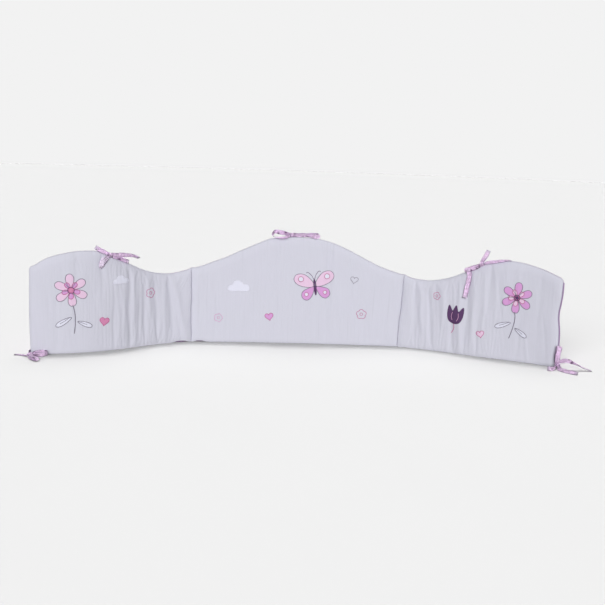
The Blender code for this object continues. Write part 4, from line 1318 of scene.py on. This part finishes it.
# Centre tie: a bow on the peak, with an open loop to the left, a flat one to the right, and both ends behind
peak = float(top_edge(0.0))
knot("wrapped_centre_knot", -0.0146, 0.0, peak + 0.0055, 8, 1)
strap(
    "strap_centre_loop_left", 0.0, peak, OUT,
    [(-22.8, 0, 7.2, 66), (-38, -1, 9.8, 78), (-54, -1.5, 13, 76), (-65, 0.5, 13.2, 58), (-71, 4, 6, 48),
     (-67.5, 8, 0.2, 60), (-53, 9.5, -2.8, 82), (-37, 9, -1.8, 90), (-23, 4.5, 2.5, 92)],
    (True, True), 1, 0.0130, folds=[(16, 4, 0.5), (36, 4, -0.85)],
)
strap(
    "strap_centre_loop_right", 0.0, peak, UP,
    [(-6.4, 3.4, 6.8, 0), (6, 6.8, 5.4, 20), (20, 7.4, 5.4, 35), (36, 7.8, 4.8, 32), (47, 8.2, 3.1, 12),
     (55.5, 7.8, 2.5, 0), (61, 5.6, 4, 0), (63, 1.6, 6.1, 0), (61, -2.4, 8.2, 0), (55.5, -4.8, 9.3, 0),
     (46, -5, 7.8, 10), (30, -4.5, 6.2, 25), (10, -3.4, 6.2, 15), (-6.4, -2.6, 7.4, 0)],
    (True, True), 2, folds=[(41, 6, -0.9), (26, 3.5, -0.85)],
)
strap(
    "strap_centre_end_long", 0.0, peak, ALONG,
    [(-21.6, -6.8, 2.6, 0), (-24.6, -11, -2, 0), (-28, -14.5, -14, 0), (-31, -14.5, -47, 0),
     (-35, -14, -90, 5)],
    (True, False), 3,
)
strap(
    "strap_centre_end_short", 0.0, peak, ALONG,
    [(-9, -7, 2.6, 0), (-8.6, -11.5, -2.6, 0), (-5, -14.5, -15, 0), (1, -14.5, -42, 0), (4, -14, -72, -6)],
    (True, False), 4,
)

# Left top tie: one end up to the left, two to the right, and a small loop in front
left_hump = float(top_edge(-0.553))
knot("wrapped_left_top_knot", -0.5536, 0.0126, left_hump - 0.0006, -20, 2)
strap(
    "strap_left_top_end_up", -0.553, left_hump, UP,
    [(-8.6, 11.8, 3.2, 0), (-15.5, 10, 6.7, 0), (-25.5, 8.5, 12.2, 5), (-37.8, 7.5, 19.3, 10)],
    (True, False), 5,
)
strap(
    "strap_left_top_end_arch", -0.553, left_hump, UP,
    [(7.6, 13.6, -1.4, 0), (19, 14, -2.7, 0), (36, 14, -3.3, 8), (54, 13, -5.3, 30), (71.5, 12, -8.9, 55),
     (86, 11.5, -15.4, 68)],
    (True, False), 6,
)
strap(
    "strap_left_top_end_low", -0.553, left_hump, UP,
    [(7.8, 10.8, -5, -10), (20.5, 9.6, -9, -20), (35, 9.2, -15, -25), (55.5, 9, -25, -15)],
    (True, False), 7, folds=[(27, 7, -0.5)],
)
strap(
    "strap_left_top_loop", -0.553, left_hump, ALONG,
    [(-6.5, 14.4, -7.6, 0), (-16, 15.5, -12.6, 0), (-22, 16, -19.6, 0), (-24.4, 15.8, -28, 0),
     (-22.6, 13.7, -33.6, 0), (-17.4, 12, -31, 0), (-11.4, 11.6, -24.4, 0), (-6, 11.4, -16.4, 0),
     (-2, 11.4, -8.2, 0)],
    (True, True), 8, 0.0130, True,
)

# Right top tie: ends standing up, lying along the edge, and falling over the front
right_hump = float(top_edge(0.538))
knot("wrapped_right_top_knot", 0.5369, 0.0115, right_hump + 0.0034, 25, 3)
strap(
    "strap_right_top_end_up", 0.538, right_hump, ALONG,
    [(-0.2, 11.5, 10.8, 0), (4.8, 10, 20.5, 3), (10, 8.5, 31, 6), (15.2, 7.5, 42.5, 10)],
    (True, False), 9,
)
strap(
    "strap_right_top_end_over", 0.538, right_hump, UP,
    [(-9.4, 11.8, -2, 0), (-19, 12, -7.3, 0), (-30, 13.4, -11.6, 0), (-39.8, 13.6, -15.6, 0),
     (-41.6, 12.6, -17.2, -40), (-39.5, 11.6, -18.4, -76), (-35.5, 11.4, -22.5, -78), (-33, 11.8, -31, -80),
     (-34.5, 12.2, -47, -80), (-38.5, 12.2, -70, -80), (-43, 12.2, -96.4, -86)],
    (True, False), 10, 0.0140,
    folds=[(3, 2.2, -0.7), (12, 1.8, -0.85), (27, 2.6, -0.9)],
)
strap(
    "strap_right_top_end_along", 0.538, right_hump, UP,
    [(11.4, 11, 8, -25), (18.5, 10.2, 10.2, -42), (28.8, 9.4, 12, -48), (46, 7.4, 15.2, -55),
     (62, 4, 17.8, -72), (77.5, 1, 18.9, -86)],
    (True, False), 11,
)

# Left foot tie: a bow on the floor in front of the end, with two loops, a free end and a sewn end
knot("wrapped_left_foot_knot", -END + 0.0038, 0.0370, 0.0062, 10, 4)
strap(
    "strap_left_foot_loop_wall", -END, 0.0, UP,
    [(11.5, 38.5, 6.9, 0), (22.4, 40.5, 6.5, 0), (36.4, 36, 6.5, 0), (44, 23.5, 7, 0), (35, 12.5, 6.8, 0),
     (20.5, 15.5, 6.6, 0), (12.5, 25, 6.6, 0), (9.8, 32, 6.6, 0)],
    (True, True), 12, folds=[(7, 11, -0.85), (52, 6, 0.8)],
)
strap(
    "strap_left_foot_loop_floor", -END, 0.0, ALONG,
    [(4.5, 42.8, 4.4, 0), (7.6, 57, 2.2, -3), (12, 68, 1.5, -4), (19, 80.5, 1.7, -4), (27, 93, 5.2, 0),
     (20, 83, 9.2, 6), (12.5, 69, 9.4, 6), (7.6, 57, 9, 6), (4.5, 42.8, 8, 6)],
    (True, True), 13, folds=[(88, 4, 0.7), (76, 3, -0.7)],
)
strap(
    "strap_left_foot_end_floor", -END, 0.0, OUT,
    [(-4.6, 34, 3.4, 0), (-11, 29.5, 1.6, 12), (-19, 23, 1.4, 12), (-29, 19, 1.4, 12), (-39, 18, 1.4, 12)],
    (True, False), 14,
)
strap(
    "strap_left_foot_end_sewn", -END, 0.0, UP,
    [(-1.2, 1, 6.8, 0), (-1.8, 8, 6.8, 0), (-2, 17, 6.8, 0), (-0.8, 26, 6.8, 0), (1.4, 31.4, 6.6, 0)],
    (True, True), 15,
)

# Right foot tie: a loop standing up, and three ends that reach the floor
knot("wrapped_right_foot_knot", END + 0.0068, 0.0140, 0.0112, -15, 5)
strap(
    "strap_right_foot_loop_up", END, 0.0, Vector((0.8, -0.6, 0)),
    [(5.8, 16.6, 17.8, 0), (7.2, 17, 32, 0), (8.8, 16.8, 45, 0), (9.7, 16.6, 54, 0), (9.4, 15.8, 59, 0),
     (7.6, 13.4, 60.4, 0), (6.1, 11.3, 59, 0), (5.4, 10.7, 54, 0), (4.6, 10.9, 45, 0), (3.6, 11, 32, 0),
     (3, 12, 17.8, 0)],
    (True, True), 16, 0.0142,
)
strap(
    "strap_right_foot_end_upper", END, 0.0, UP,
    [(14.4, 13.8, 19.8, 0), (26.3, 12, 24.2, -15), (39, 9, 23.2, -45), (54.2, 3.5, 17.2, -80),
     (72, -7, 8.4, -95), (89.5, -17, 1.7, -98)],
    (True, False), 17, folds=[(36, 3.5, 0), (27, 2, 0.7)],
)
strap(
    "strap_right_foot_end_lower", END, 0.0, ALONG,
    [(13, 19, 6.2, 25), (17.6, 29, 5.4, 34), (27, 40, 4.8, 36), (47, 47.5, 4.6, 36), (75.8, 51, 4.5, 34)],
    (True, False), 18,
)
strap(
    "strap_right_foot_end_short", END, 0.0, UP,
    [(5.2, 19.8, 9, 0), (7.4, 28, 7, 0), (9, 42, 6.5, 0), (7, 53, 6.5, 0), (1, 60.5, 6.5, 0),
     (-3, 62, 6.5, 0)],
    (True, False), 19,
)
